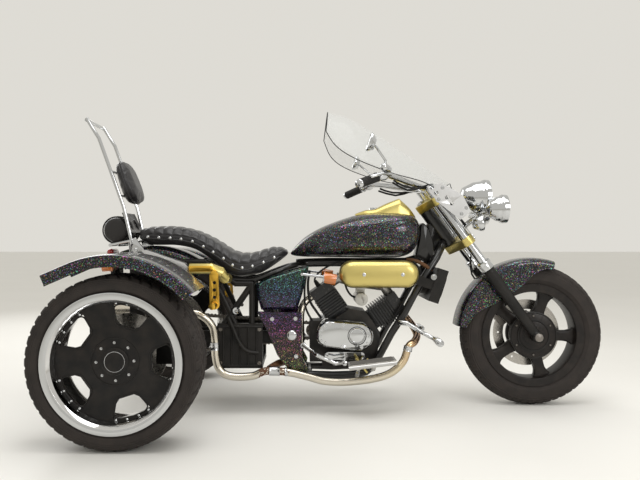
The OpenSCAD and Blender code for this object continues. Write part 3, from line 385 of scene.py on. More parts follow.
def smooth(points, steps):
    """A Catmull-Rom curve through the rows of points: each span is a cubic that leaves one row and reaches
    the next along the line between that row's neighbours."""
    p = np.asarray(points, float)
    p = np.concatenate([p[:1], p, p[-1:]])
    t = np.linspace(0, 1, steps, endpoint=False).reshape(1, -1, *[1] * (p.ndim - 1))
    a, b, c, d = (p[i:len(p) - 3 + i, None] for i in range(4))
    curve = 0.5 * (2 * b + (c - a) * t + (2 * a - 5 * b + 4 * c - d) * t**2 + (3 * b - a - 3 * c + d) * t**3)
    return np.concatenate([curve.reshape(-1, *p.shape[1:]), p[-1:]])


def square_to(direction):
    """The unit direction, and two unit vectors square to it and to each other."""
    d = np.asarray(direction, float)
    d = d / np.linalg.norm(d, axis=-1, keepdims=True)
    helper = np.where(np.abs(d[..., 2:3]) < 0.9, [0.0, 0.0, 1.0], [1.0, 0.0, 0.0])
    u = np.cross(helper, d)
    u = u / np.linalg.norm(u, axis=-1, keepdims=True)
    return d, u, np.cross(d, u)


def quads(rows, columns, close_rows=False, close_columns=False):
    """The faces of a grid of points: each joins four neighbours, and a closed side meets its start."""
    index = np.arange(rows * columns).reshape(rows, columns)
    if close_rows:
        index = np.vstack([index, index[:1]])
    if close_columns:
        index = np.hstack([index, index[:, :1]])
    corners = [index[:-1, :-1], index[:-1, 1:], index[1:, 1:], index[1:, :-1]]
    return np.stack(corners, -1).reshape(-1, 4)


# %% Turned, swept and closed shapes
def turned(profile, centre, direction, steps=48, ring=False):
    """A profile of (radius, height) turned about a line: point = centre + height along the line + radius
    times (cosine and sine of the angle) across it. A ring's profile is closed."""
    d, u, v = square_to(direction)
    radius, height = np.asarray(profile, float).T
    angle = np.linspace(0, 2 * pi, steps, endpoint=False)[:, None, None]
    out = np.cos(angle) * u + np.sin(angle) * v
    points = np.asarray(centre) + height[None, :, None] * d + radius[None, :, None] * out
    return points.reshape(-1, 3), quads(steps, len(radius), True, ring)


def lathe(profile, centre, direction, steps=48, ring=False):
    """A turned shape whose profile and centre are in millimetres."""
    return turned(metres(profile), metres(centre), direction, steps, ring)


def swept(path, radius, sides=16, up=(0, 1, 0)):
    """A circle carried along a path, closed at both ends. up is a direction that the path never takes."""
    path = np.asarray(path, float)
    along = np.gradient(path, axis=0)
    along /= np.linalg.norm(along, axis=1, keepdims=True)
    u = np.cross(up, along)
    u /= np.linalg.norm(u, axis=1, keepdims=True)
    v = np.cross(along, u)
    size = np.broadcast_to(radius, len(path))
    path = np.concatenate([path[:1], path, path[-1:]])
    size = np.concatenate([[0], size, [0]])[:, None, None]
    u, v = (np.concatenate([w[:1], w, w[-1:]])[:, None] for w in (u, v))
    angle = np.linspace(0, 2 * pi, sides, endpoint=False)[None, :, None]
    points = path[:, None] + size * (np.cos(angle) * u + np.sin(angle) * v)
    return points.reshape(-1, 3), quads(len(path), sides, False, True)


def shell(outer, inner):
    """A closed wall between two sheets of points: the outer sheet, then the inner one back again, with the
    ends of both pinched shut."""
    loop = np.concatenate([outer, inner[:, ::-1]], axis=1)
    middle = (outer + inner) / 2
    ends = [np.concatenate([middle[i], middle[i][::-1]])[None] for i in (0, -1)]
    loop = np.concatenate([ends[0], loop, ends[1]])
    return loop.reshape(-1, 3), quads(len(loop), loop.shape[1], False, True)


def copies(shape, places, directions):
    """One template, standing along +Z, copied to each place and turned to each direction."""
    points, faces = shape
    places = np.asarray(places, float).reshape(-1, 3)
    d, u, v = (w[:, None] for w in square_to(np.broadcast_to(directions, places.shape)))
    x, y, z = (points[None, :, i:i + 1] for i in range(3))
    moved = places[:, None] + x * u + y * v + z * d
    shift = np.arange(len(places))[:, None, None] * len(points)
    return moved.reshape(-1, 3), (faces[None] + shift).reshape(-1, faces.shape[1])


def together(*shapes):
    """Several shapes as one."""
    starts = np.cumsum([0] + [len(s[0]) for s in shapes])
    return np.concatenate([s[0] for s in shapes]), np.concatenate([s[1] + n for s, n in zip(shapes, starts)])


def both(shape):
    """A shape and its copy on the trike's other side."""
    points, faces = shape
    return together(shape, (points * [1, -1, 1], faces[:, ::-1]))


SIDES = (("right", -1), ("left", 1))

# %% Put a shape into the scene
def tidy(mesh, crease, turn_out=True):
    """Merges points that meet, turns new faces outwards, and shades smooth up to an angle."""
    work = bmesh.new()
    work.from_mesh(mesh)
    bmesh.ops.remove_doubles(work, verts=work.verts, dist=2e-6)
    bmesh.ops.dissolve_degenerate(work, dist=1e-7, edges=work.edges)
    if turn_out:
        bmesh.ops.recalc_face_normals(work, faces=work.faces)
    work.to_mesh(mesh)
    work.free()
    mesh.shade_smooth()
    mesh.set_sharp_from_angle(angle=radians(crease))


def add(name, shape, finish, body, crease=40):
    """Makes a piece of a shape, which rides on a body."""
    mesh = bpy.data.meshes.new(name)
    mesh.from_pydata(shape[0].tolist(), [], shape[1].tolist())
    tidy(mesh, crease)
    mesh.materials.append(finish)
    made = bpy.data.objects.new(name, mesh)
    bpy.context.scene.collection.objects.link(made)
    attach(made, body)
    return made


body_of_node = {n: b for b, ns in frame["record"]["behaviour"]["bodies"].items() for n in ns}


def refine(node, finish, bevel=0.0, crease=34):
    """A smooth-shaded copy of a CAD solid with softened edges, which stands for that solid."""
    mesh = frame["nodes"][node].data.copy()
    mesh.name = node + "_finish"
    tidy(mesh, crease, turn_out=False)
    mesh.materials.clear()
    mesh.materials.append(finish)
    made = bpy.data.objects.new(node + "_finish", mesh)
    bpy.context.scene.collection.objects.link(made)
    if bevel:
        edge = made.modifiers.new("soft_edges", "BEVEL")
        edge.width, edge.segments, edge.limit_method = bevel, 2, "ANGLE"
        edge.angle_limit = radians(38)
        edge.harden_normals = True
    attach(made, body_of_node[node])
    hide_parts(node)
    return made


# %% Templates for fasteners
def bolt(radius, height):
    """A socket bolt on a washer, standing on z = 0."""
    r, h = radius, height
    return turned([(0, h * 0.45), (r * 0.5, h * 0.45), (r * 0.55, h), (r * 0.9, h), (r, h * 0.86), (r, 0),
                   (r * 1.45, 0), (r * 1.45, -h * 0.25), (0, -h * 0.25)], (0, 0, 0), (0, 0, 1), 12)


def dome(radius, height, steps=14):
    """A round-headed stud, standing on z = 0."""
    a = np.linspace(0, pi / 2, 5)
    profile = np.column_stack([radius * np.sin(a), height * np.cos(a)])
    return turned([*profile, (radius * 0.8, -height * 0.3), (0, -height * 0.3)], (0, 0, 0), (0, 0, 1), steps)


print("shape helpers ready")

# %% [markdown]
# ## Dress the plain solids
#
# Blocks, tubes and castings already have their real shape. They get a smooth-shaded copy with softened
# edges, because a real casting or a bent tube has no razor edge, and the soft edge is what catches light.

# %% Finish the frame, engine and steering
def peg_finish():
    """Champagne gold for the carrier tube and orange gold for the peg plates, which stand further out."""
    f = Finish("peg_and_carrier", Metallic=1.0)
    y = f.axes(f.where())[1]
    plates = y.through("ABSOLUTE") > 0.268
    cloud = f.noise(0.04, 4.0)
    f.paint(Base_Color=f.mix(plates, (0.66, 0.55, 0.2), (0.8, 0.48, 0.07)), Roughness=cloud * 0.1 + 0.28)
    return f.material


plain = {
    "main_frame": (black_gloss, 0), "head_tube": (black_gloss, 0.0012),
    "rear_subframe": (black_satin, 0.0015),
    "axle_carrier": (black_satin, 0.002), "final_drive": (dark_steel, 0), "crankcase": (engine_black, 0.003),
    "crankcase_covers": (chrome, 0.002), "carburettors": (alloy, 0.0012), "air_cleaner": (gold, 0),
    "radiator": (black_satin, 0.002), "fender_stays": (steel, 0.0018), "side_covers": (cover_paint, 0.004),
    "sissy_bar": (chrome, 0.001), "footboards": (dull_chrome, 0.002), "foot_controls": (chrome, 0),
    "highway_pegs": (chrome, 0), "passenger_pegs": (peg_finish(), 0.001),
    "plate_bracket": (black_satin, 0.001),
    "fork_yokes": (gold, 0.0025), "fork_tubes": (chrome, 0.001), "fork_sliders": (black_satin, 0),
    "front_caliper": (dark_steel, 0.0015), "handlebar": (chrome, 0), "control_cables": (cable_black, 0),
    "mirrors": (chrome, 0), "front_lamps": (chrome, 0), "windshield_brackets": (steel, 0.0006),
}
for node, (finish, bevel) in plain.items():
    refine(node, finish, bevel)
print("refined solids:", len(plain))

# %% [markdown]
# ## Tank and console
#
# The teardrop tank is a row of cross-sections, each a rounded box that a superellipse describes well: a
# circle whose sine and cosine are raised to a power below one. A smooth curve runs through the sections'
# heights and widths, so the skin has no facets. The gold console sits on the tank's ridge, so its lower
# edge follows the height of the tank exactly.

# %% A skin over rings, and the tank
def loft(rings):
    """A closed skin over rings of points, each end drawn to its own middle."""
    ends = [np.broadcast_to(ring.mean(0), ring.shape)[None] for ring in (rings[0], rings[-1])]
    rings = np.concatenate([ends[0], rings, ends[1]])
    return rings.reshape(-1, 3), quads(len(rings), rings.shape[1], False, True)


def powered(wave, power):
    """A sine or cosine raised to a power, with its sign kept."""
    return np.sign(wave) * np.abs(wave) ** power


tank_rows = smooth([
    [-234, 668, 676, 6], [-212, 661, 706, 44], [-170, 658, 746, 78], [-110, 657, 783, 106],
    [-39, 656, 813, 127], [37, 655, 838, 142], [100, 654, 849, 149], [180, 654, 853, 151],
    [250, 657, 851, 145], [296, 674, 844, 126], [322, 706, 829, 96], [336, 742, 805, 56],
    [341, 762, 788, 14]], 7)
SQUARE = 0.72


def tank_shape(rows, count=88):
    """Sections at each x: y = half width * powered cosine, z = middle + half height * powered sine."""
    x, low, high, half = (rows[:, i:i + 1] for i in range(4))
    angle = np.linspace(0, 2 * pi, count, endpoint=False)
    y = half * powered(np.cos(angle), SQUARE)
    z = (low + high) / 2 + (high - low) / 2 * powered(np.sin(angle), SQUARE)
    return loft(metres(np.stack([np.broadcast_to(x, y.shape), y, z], -1)))


tank = add("tank", tank_shape(tank_rows), tank_paint, "chassis")
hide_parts("fuel_tank")

# %% The console and its filler cap
def console_shape():
    """Its foot lies on the tank: z = middle + half height * (1 - (y / half)^(2/p))^(p/2). Above the foot it
    rises to the ridge by (1 - |u|^3.2)^0.42, where u runs from -1 to 1 across it."""
    rows = tank_rows[(tank_rows[:, 0] > 50) & (tank_rows[:, 0] < 324)]
    x, low, high, half = (rows[:, i:i + 1] for i in range(4))
    ridge = np.interp(x, [37, 100, 140, 180, 250, 296, 322], [3, 16, 17, 36, 66, 30, 8])
    width = np.interp(x, [37, 100, 140, 180, 250, 296, 322], [20, 46, 52, 54, 50, 42, 26])
    u = np.linspace(-1, 1, 33)[None]
    y = width * u
    foot = (low + high) / 2 + (high - low) / 2 * (1 - np.abs(y / half) ** (2 / SQUARE)) ** (SQUARE / 2) + 0.6
    top = foot + (high + 1 + ridge - foot) * (1 - np.abs(u) ** 3.2) ** 0.42
    deep = np.broadcast_to(x, y.shape)
    sheets = [metres(np.stack([deep, y, z], -1)) for z in (top, foot)]
    return loft(np.concatenate([sheets[0], sheets[1][:, ::-1]], axis=1))


console = add("console", console_shape(), gold, "chassis")
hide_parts("tank_console")
cap = turned([(0, 9), (17, 9), (21, 6), (22, 0), (25, -1), (26, -4), (0, -6)], (0, 0, 0), (0, 0, 1), 40)
cap = (cap[0] / 1000 + [0.138, 0, 0.8685], cap[1])
add("filler_cap", cap, chrome, "chassis")
print("tank rings:", len(tank_rows))

# %% [markdown]
# ## Fenders
#
# A fender is pressed sheet: one section carried round the axle. The section is half a superellipse for the
# crown and a straight skirt below it, and the inner skin is the same section a wall's thickness smaller. A
# rolled bead stiffens the free edge of the real one, and here a thin tube along that edge stands for it.

# %% Carry a section round an axle
def around(axle, radius, section, angles, runs=0.0):
    """Points of a section at each angle: x = axle + (radius + rise) cos a - run sin a, and z the same with
    sine and cosine swapped. A section is rows of (rise, y), one section for each angle or one for all."""
    a = np.radians(angles)[:, None]
    rise, y = section[..., 0], section[..., 1]
    run = np.broadcast_to(runs, len(angles))[:, None]
    x = axle[0] + (radius + rise) * np.cos(a) - run * np.sin(a)
    z = axle[1] + (radius + rise) * np.sin(a) + run * np.cos(a)
    return metres(np.stack([x, np.broadcast_to(y, x.shape), z], -1))


def crown(half, depth, power, left_skirt, right_skirt, middle=0.0, count=40):
    """A fender's section: rise = depth * (powered sine - 1), y = middle + half * powered cosine, with a
    straight skirt of its own depth at each side."""
    a = np.linspace(0, pi, count)
    arch = np.column_stack([depth * (powered(np.sin(a), power) - 1),
                            middle + half * powered(np.cos(a), power)])
    sides = [np.column_stack([np.linspace(-skirt, -depth, 7)[:-1], np.full(6, middle + side * half)])
             for skirt, side in ((left_skirt, 1), (right_skirt, -1))]
    return np.concatenate([sides[0], arch, sides[1][::-1]])


def wall_of(axle, radius, half, depth, power, skirts, angles, runs=0.0, middle=0.0, thick=4.0):
    """A fender as a closed wall, and its two free edges."""
    outer = around(axle, radius, crown(half, depth, power, *skirts, middle), angles, runs)
    inner = around(axle, radius - thick, crown(half - thick, depth, power, skirts[0] - thick,
                                               skirts[1] - thick, middle), angles, runs)
    return shell(outer, inner), (outer[:, 0], outer[:, -1])


angles = np.concatenate([np.arange(41, 113.1, 2), np.full(12, 113.4)])
runs = np.concatenate([np.zeros(37), np.linspace(8, 96, 12)])
side_wall, side_edges = wall_of((REAR_X, REAR_Z), 381, 149, 14, 0.36, (42, 30), angles, runs, middle=598.5)
centre_wall, centre_edges = wall_of((REAR_X, REAR_Z), 400, 116, 34, 0.55, (70, 70), np.arange(52, 120.1, 2))
bead = swept(side_edges[0], 0.0032, 10)
fenders = add("rear_fender_skins", together(both(side_wall), centre_wall, both(bead)), tank_paint, "chassis")
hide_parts("rear_fenders")

# %% The front fender, whose skirt changes along its length
def front_fender_shape(radius=342.0, half=70.0, thick=4.0):
    """At each angle the crown is 34 mm deep, and its skirt follows the fender's scalloped lower edge."""
    angles = np.arange(74, 173.1, 1.5)
    skirt = np.interp(angles, [74, 80, 86, 92, 98, 105, 112, 124, 136, 142, 148, 160, 173],
                      [36, 42, 56, 75, 98, 115, 126, 130, 126, 115, 98, 64, 38])
    sheets = []
    for less in (0.0, thick):
        sections = np.stack([crown(half - less, 34, 0.62, s - less, s - less) for s in skirt])
        sheets.append(around((FRONT_X, FRONT_Z), radius - less, sections, angles))
    return shell(*sheets), sheets[0]


front_wall, front_sheet = front_fender_shape()
edge = swept(front_sheet[:, 0], 0.0028, 10)
front_skin = add("front_fender_skin", together(front_wall, both(edge)), tank_paint, "steering")
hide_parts("front_fender")
print("fender rows:", len(angles), "front rows:", len(front_sheet))

# %% [markdown]
# ## Windshield
#
# The shield is bent from one clear sheet about 4 mm thick. A point on it lies between the middle line and
# the side edge, and the share is the square of the distance across, which gives the sheet its round bow. The
# cut edge of clear plastic looks dark, because light runs along inside it, so a thin dark line follows it.

# %% Bend the shield
def shield_sheet(rows=57, columns=41):
    """point = middle + (edge - middle) * u^2 in x and z, and y = width * u, for u from -1 to 1. The foot is
    lifted by 1 - |u / 0.86|^6 of a step near the middle, to clear the headlamp."""
    middle = smooth([[566, 892], [522, 953], [400, 1040], [264, 1131], [132, 1219], [20, 1281],
                     [-68, 1306]], 9)
    side = smooth([[528, 846], [466, 884], [360, 974], [190, 1018], [40, 1074], [-40, 1128], [-80, 1200]], 9)
    wide = smooth([[116, 0], [132, 0], [141, 0], [206, 0], [232, 0], [220, 0], [150, 0]], 9)[:, 0]
    u = np.linspace(-1, 1, columns)[None]
    start = 4.2 / 18 * np.clip(1 - np.abs(u / 0.86) ** 6, 0, 1)
    t = start + (1 - start) * np.linspace(0, 1, rows)[:, None]
    place = t * (len(middle) - 1)

    def at(values):
        return np.interp(place, np.arange(len(values)), values)

    x, z = (at(middle[:, i]) * (1 - u**2) + at(side[:, i]) * u**2 for i in (0, 1))
    return metres(np.stack([x, at(wide) * u, z], -1))


sheet = shield_sheet()
wall = shell(sheet, sheet + metres([-2.2, 0, -3.0]))
screen = add("screen", wall, screen_clear, "steering")
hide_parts("windshield")
border = np.concatenate([sheet[:, 0], sheet[-1, 1:-1], sheet[::-1, -1], sheet[0, -2:0:-1]])
border -= metres([1.1, 0, 1.5])
rim_line = swept(np.concatenate([border, border[:2]]), 0.0019, 8, up=(1, 0, 1))
add("screen_edge", rim_line, cable_black, "steering")
print("shield points:", sheet.shape)

# %% [markdown]
# ## Exhaust
#
# Two header pipes are bent from one tube each, so each is a circle carried along a smooth curve. They have
# band clamps at their joints. A long muffler runs back behind the wheel.

# %% Bend the pipes
def from_crank(tilt, x, z):
    """A point x across and z along a cylinder that leans by tilt degrees from the crankshaft."""
    a = radians(tilt)
    return 40 + x * cos(a) + z * sin(a), 315 - x * sin(a) + z * cos(a)


def port(tilt, x, y):
    across, up = from_crank(tilt, x, 238)
    return [across, y, up]


front_pipe = metres(smooth([
    port(55, 52.4, -24), port(55, 62, -24), port(55, 80, -24), [306, -52, 352], [314, -108, 322],
    [296, -156, 300], [268, -178, 282], [244, -180, 220], [193, -180, 172], [115, -180, 146],
    [0, -180, 133], [-90, -180, 137], [-150, -180, 153], [-243, -180, 174], [-336, -180, 179],
    [-395, -180, 158], [-490, -180, 158], [-535, -180, 190], [-550, -180, 246], [-553, -180, 314],
    [-568, -180, 376], [-620, -190, 420], [-700, -200, 430]], 7))
rear_pipe = metres(smooth([
    port(-35, -52.4, -24), port(-35, -62, -24), port(-35, -80, -24), [-182, -36, 436], [-190, -50, 390],
    [-189, -54, 290], [-202, -56, 232], [-246, -70, 206], [-288, -104, 196], [-322, -156, 184]], 7))
muffler = lathe([(0, 0), (20, 0), (30, 6), (41, 26), (42, 40), (44, 41), (44, 52), (42, 53),
                         (42, 150), (44, 151), (44, 162), (42, 163), (42, 266), (44, 267), (44, 278),
                         (42, 279), (41, 296), (30, 306), (22, 308), (22, 344), (18, 346), (18, 300),
                         (0, 299)], [-698, -200, 430], (-1, 0, 0), 56)
pipes = together(swept(front_pipe, 0.0165, 28, up=(0.2, 0.1, 1)), swept(rear_pipe, 0.016, 28, up=(0.4, 1, 0)),
                 muffler)
exhaust = add("exhaust", pipes, hot_steel, "chassis")
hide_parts("exhaust_pipes")

# %% Band clamps on the pipes
def band(at, direction, radius, width):
    """A rounded band round a pipe, with a raised edge on each side."""
    r, h = radius, width / 2
    return turned(metres([(r - 2, -h), (r + 1.6, -h), (r + 2.4, -h + 1.5), (r + 1.4, -h + 3),
                          (r + 1.4, h - 3), (r + 2.4, h - 1.5), (r + 1.6, h), (r - 2, h)]),
                  metres(at), direction, 40, ring=True)


clamps = together(band((-552, -180, 284), (-0.02, 0, 1), 17.5, 34),
                  band((-300, -180, 179), (-1, 0, 0.03), 18, 44),
                  band((-250, -180, 176), (-1, 0, -0.1), 17.2, 12),
                  band((265, -178, 274), (-0.2, 0, -1), 17.5, 22))
add("pipe_clamps", clamps, chrome, "chassis")
print("pipe points:", len(front_pipe), len(rear_pipe))

# %% [markdown]
# ## Tyres
#
# A tyre is a ring profile turned about its axle, and the tread is cut into it. Instead of modelling blocks,
# each point of a fine grid is moved towards the axle where a groove runs. Grooves are written as distances
# on the unrolled tread: two straight ones round the tyre, and many slanted ones that repeat at a fixed
# pitch. The outer walls carry low ribs and a raised ring that guards the rim.

# %% Mould a tyre
def tyre_shape(centre, radius, width, seat, square, lip, grooves, pitch_count, slant, depth, steps=720):
    """The section is a superellipse: r = (seat + 30) + (radius - seat - 30) * sin^p and y = width / 2 *
    cos^p. Inside the tread the radius falls by depth where a groove's distance is under its half width."""
    tread = np.linspace(0.86, -0.86, 61) * width / 2
    share = np.linspace(0, 0.72, 12)
    wall_r = seat + 30 + (radius - seat - 30) * share
    wall_y = width / 2 * (1 - share ** (1 / square * 2)) ** (square / 2)
    fall = (1 - np.abs(2 * tread / width) ** (2 / square)) ** (square / 2)
    tread_r = seat + 30 + (radius - seat - 30) * fall
    bead = width / 2 - 13
    ribs = 0.9 * np.sin(share * 46) * (share > 0.3)
    left = np.column_stack([np.concatenate([[seat + 1, seat + lip + 1], wall_r]),
                            np.concatenate([[bead, bead], wall_y - 1 + ribs])])
    right = left[::-1] * [1, -1]
    middle = np.column_stack([tread_r, tread])
    inside = np.array([[seat + 1, -bead + 14], [radius - 22, -width / 2 + 42], [radius - 20, width / 2 - 42],
                       [seat + 1, bead - 14]])
    profile = np.concatenate([left, middle, right, inside])
    angle = np.linspace(0, 2 * pi, steps, endpoint=False)[:, None]
    r = np.broadcast_to(profile[:, 0], (steps, len(profile))).copy()
    y = np.broadcast_to(profile[:, 1], r.shape)
    on_tread = np.zeros(len(profile), bool)
    on_tread[len(left):len(left) + len(middle)] = True
    rings = np.min([np.abs(np.abs(y) - place) / half for place, half in grooves], axis=0)
    turn = (angle / (2 * pi) * pitch_count + np.abs(y) * slant) % 1 - 0.5
    cuts = np.abs(turn) * (2 * pi * radius / pitch_count) / 4.6 + (np.abs(y) < grooves[0][0]) * 9
    near = np.minimum(rings, cuts)
    r -= on_tread * depth * np.clip(1.5 - near, 0, 1)
    place = [centre[0] + r * np.cos(angle), centre[1] + y, centre[2] + r * np.sin(angle)]
    return metres(np.stack(place, -1)).reshape(-1, 3), quads(steps, len(profile), True, True)


for side, sign in SIDES:
    shape = tyre_shape((REAR_X, HALF_TRACK * sign, REAR_Z), REAR_Z, 225, 229, 0.4, 19,
                       [(24, 5), (58, 4.5)], 48, 0.012, 6.5)
    tyre = add("rear_tread_" + side, shape, tyre_rubber, f"rear_{side}_body", 30)
    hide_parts("rear_tyre_" + side)
shape = tyre_shape((FRONT_X, 0, FRONT_Z), FRONT_Z, 120, 216, 0.75, 10, [(9, 3.2), (30, 2.8)], 54, 0.016, 5.0)
tyre = add("front_tread", shape, tyre_rubber, "front_wheel_body", 30)
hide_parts("front_tyre")
print("faces in a tyre:", len(shape[1]))

# %% [markdown]
# ## Wheels
#
# The rear wheels are two-piece: a polished spun rim and a satin black centre with five windows, held by
# rivets. One finish does both, because the paint ends at a fixed distance from the axle. Distance from the
# axle is the square root of x squared plus z squared, measured from the wheel's middle.

# %% Two finishes on one wheel
def wheel_finish(name, axle, paint_ends, disc_from, disc_to, dark):
    """Satin black inside paint_ends, polished outside it, and brushed steel for the disc between two y."""
    f = Finish(name, Coat_Weight=0.1, Coat_Roughness=0.15, Specular_IOR_Level=0.22)
    x, y, z = f.axes(f.where(axle))
    away = (x * x + z * z).through("SQRT")
    disc = (y > disc_from) * (y < disc_to) * (away > 0.07)
    bright = (away > paint_ends).through("MAXIMUM", disc)
    swirl = f.node("TexNoise", {}, Vector=f.where(axle, (30, 1, 30)), Scale=6.0, Detail=4.0)
    dust = (f.noise(0.04, 5.0) * 1.5 - 0.55) * 0.14
    paint = f.mix(dust, dark, (0.16, 0.12, 0.09))
    metal_colour = f.mix(disc, (0.66, 0.66, 0.66), (0.42, 0.4, 0.37))
    f.paint(Base_Color=f.mix(bright, paint, metal_colour), Metallic=bright,
            Roughness=(1 - bright) * 0.34 + swirl * 0.1 + disc * 0.2 + 0.03)
    return f.material


for side, sign in SIDES:
    low, high = sorted((sign * -0.15, sign * -0.13))
    hub = metres([REAR_X, HALF_TRACK * sign, REAR_Z])
    finish = wheel_finish("rear_wheel_" + side, hub, 0.2128, low, high, (0.006, 0.0055, 0.0055))
    refine("rear_wheel_" + side, finish, 0.0016)
front_finish = wheel_finish("front_wheel", metres([FRONT_X, 0, FRONT_Z]), 0.4, 0.0488, 0.056,
                            (0.0085, 0.0065, 0.0058))
refine("front_wheel", front_finish, 0.0035)

# %% Rivets, bolts and rings on the rear wheels
def on_rear(angles, radius, out, sign):
    """Places at an angle and radius about a rear axle, out millimetres from the tyre's middle."""
    a = np.radians(angles)
    return metres(np.column_stack([REAR_X + radius * np.cos(a), np.full(len(a), sign * (HALF_TRACK + out)),
                                   REAR_Z + radius * np.sin(a)]))


spots = (np.arange(5)[:, None] * 72 + [-17, -6, 6, 17]).ravel()
for side, sign in SIDES:
    centre, out = metres([REAR_X, sign * HALF_TRACK, REAR_Z]), (0, sign, 0)
    rivets = copies(dome(0.0052, 0.004), on_rear(spots, 206.4, 50.4, sign), out)
    bolts = copies(bolt(0.0034, 0.005), on_rear(np.arange(8) * 45 + 2, 67, 51.4, sign), out)
    ring = turned(metres([(35, 58.4), (35, 59.2), (36.2, 59.4), (36.5, 58.4)]), centre, out, 64, ring=True)
    brights = together(rivets, bolts, ring)
    add("rear_rivets_" + side, brights, chrome, f"rear_{side}_body", 35)
    collar = turned(metres([(47, 50.4), (50, 58), (46, 59.6), (44.5, 58.2), (47, 57)]), centre, out,
                    72, ring=True)
    step = turned(metres([(82, 50.4), (82, 52.2), (85, 52.6), (86.5, 50.4)]), centre, out, 96, ring=True)
    gasket = turned(metres([(210, 50.3), (209.5, 52.4), (212.6, 52.6), (212.8, 50.3)]), centre, out,
                    144, ring=True)
    add("rear_rings_" + side, together(collar, step, gasket), black_satin, f"rear_{side}_body",
        35)
    lip = turned(metres([(248, 104.5), (249.5, 107), (247.5, 109.4), (243, 109.9), (226, 109), (222.6, 107.4),
                         (221.6, 104), (224, 104.4)]), centre, out, 192, ring=True)
    add("rear_lip_" + side, lip, chrome, f"rear_{side}_body", 35)
print("rivets on a wheel:", len(spots))

# %% [markdown]
# ## Window flanges
#
# Each window in the black centre has a pressed flange round it. It is a thin raised band that follows the
# window's outline: the outline is drawn once as a closed curve, and each flange is that curve given a small
# round section.

# %% Flanges round the windows
def window_outline(sign, turn, grow=5.0):
    """A rounded window: its half angle is 19 degrees, and its radius runs from 130 to 200 with soft corners,
    as r = 165 + 35 * powered sine and angle = 19 * powered cosine."""
    t = np.linspace(0, 2 * pi, 72)
    r = 164 + (35 + grow) * powered(np.sin(t), 0.45)
    a = np.radians(turn + (18.2 + grow * 0.35) * powered(np.cos(t), 0.45) * (0.86 + 0.14 * (r - 125) / 80))
    return metres(np.column_stack([REAR_X + r * np.cos(a), np.full(len(t), sign * 670.8),
                                   REAR_Z + r * np.sin(a)]))


for side, sign in SIDES:
    flanges = together(*[swept(window_outline(sign, 72 * k), 0.0026, 8) for k in range(5)])
    add("window_flanges_" + side, flanges, black_satin, f"rear_{side}_body")

# %% [markdown]
# ## Front spokes
#
# The front wheel is one casting. Its five spokes are narrowest in their middle and spread into the rim, so
# each is a rounded box whose half width changes with its distance from the axle.

# %% Cast the spokes
def spoke_shape(turn):
    """A section at each radius r, out along the spoke: across = half width(r) * powered cosine, and sideways
    = half thickness(r) * powered sine, then turned about the axle."""
    r = np.linspace(92, 193, 22)[:, None]
    half = np.interp(r, [92, 112, 135, 158, 176, 186, 193], [31, 26, 23.5, 25, 31, 40, 52])
    thick = np.interp(r, [92, 130, 193], [16, 14, 19])
    t = np.linspace(0, 2 * pi, 28, endpoint=False)[None]
    across, y = half * powered(np.cos(t), 0.5), thick * powered(np.sin(t), 0.5)
    a = radians(turn)
    x = FRONT_X + r * cos(a) - across * sin(a)
    z = FRONT_Z + r * sin(a) + across * cos(a)
    return loft(metres(np.stack([x, y, z], -1)))


spokes = together(*[spoke_shape(72 * k - 3) for k in range(5)])
add("front_spokes", spokes, front_finish, "front_wheel_body", 50)

# %% Front hub rings, axle nuts and disc bolts
axle = metres([FRONT_X, 0, FRONT_Z])
hub_rings = together(
    turned(metres([(104, 51.6), (104, 53.4), (100, 54.4), (97, 52)]), axle, (0, -1, 0), 96, ring=True),
    turned(metres([(72, 57.6), (72, 59.4), (66, 60.4), (62, 58)]), axle, (0, -1, 0), 72, ring=True),
    turned(metres([(47, 57.6), (48, 62), (43, 64), (40, 58)]), axle, (0, -1, 0), 64, ring=True))
add("front_hub_rings", hub_rings, black_satin, "front_wheel_body")


def on_front(radius, y):
    """Six places evenly round the front axle, at a radius and a distance along it."""
    a = np.radians(np.arange(6) * 60 + 30)
    return metres(np.column_stack([FRONT_X + radius * np.cos(a), np.full(6, y),
                                   FRONT_Z + radius * np.sin(a)]))


disc_bolts, cover_bolts = on_front(92, 53.0), on_front(86, -52.0)
add("front_wheel_bolts", together(copies(bolt(0.006, 0.005), disc_bolts, (0, 1, 0)),
                                  copies(bolt(0.004, 0.003), cover_bolts, (0, -1, 0))),
    dark_steel, "front_wheel_body")
nut = lathe([(0, 6), (9, 6), (12, 4), (17, 3), (19, 0), (19, -3), (0, -3)], [FRONT_X, -127.5, FRONT_Z],
             (0, -1, 0), 36)
add("axle_nuts", both(nut), dark_steel, "steering")

# %% [markdown]
# ## Upholstery
#
# Padding pushes its cover outwards until the cloth's tension stops it, and that is what gives a cushion its
# full middle and tight edges. So each cushion starts a little thin, gets an even mesh, and is blown up by
# Blender's cloth solver for twenty frames. How far a point may move is capped, so the cushion keeps to its
# seat. Seams, channels and studs come after that, on the swollen shape.

# %% Swell a cushion
def baked(piece):
    """Gives a piece the mesh that its modifiers make, and removes them."""
    bpy.context.view_layer.update()
    seen = piece.evaluated_get(bpy.context.evaluated_depsgraph_get())
    mesh = bpy.data.meshes.new_from_object(seen)
    piece.modifiers.clear()
    piece.data = mesh
    return mesh


def points_of(mesh, what="co"):
    """The places or the normals of a mesh's points, as rows."""
    values = np.empty(len(mesh.vertices) * 3)
    mesh.vertices.foreach_get(what, values)
    return values.reshape(-1, 3)


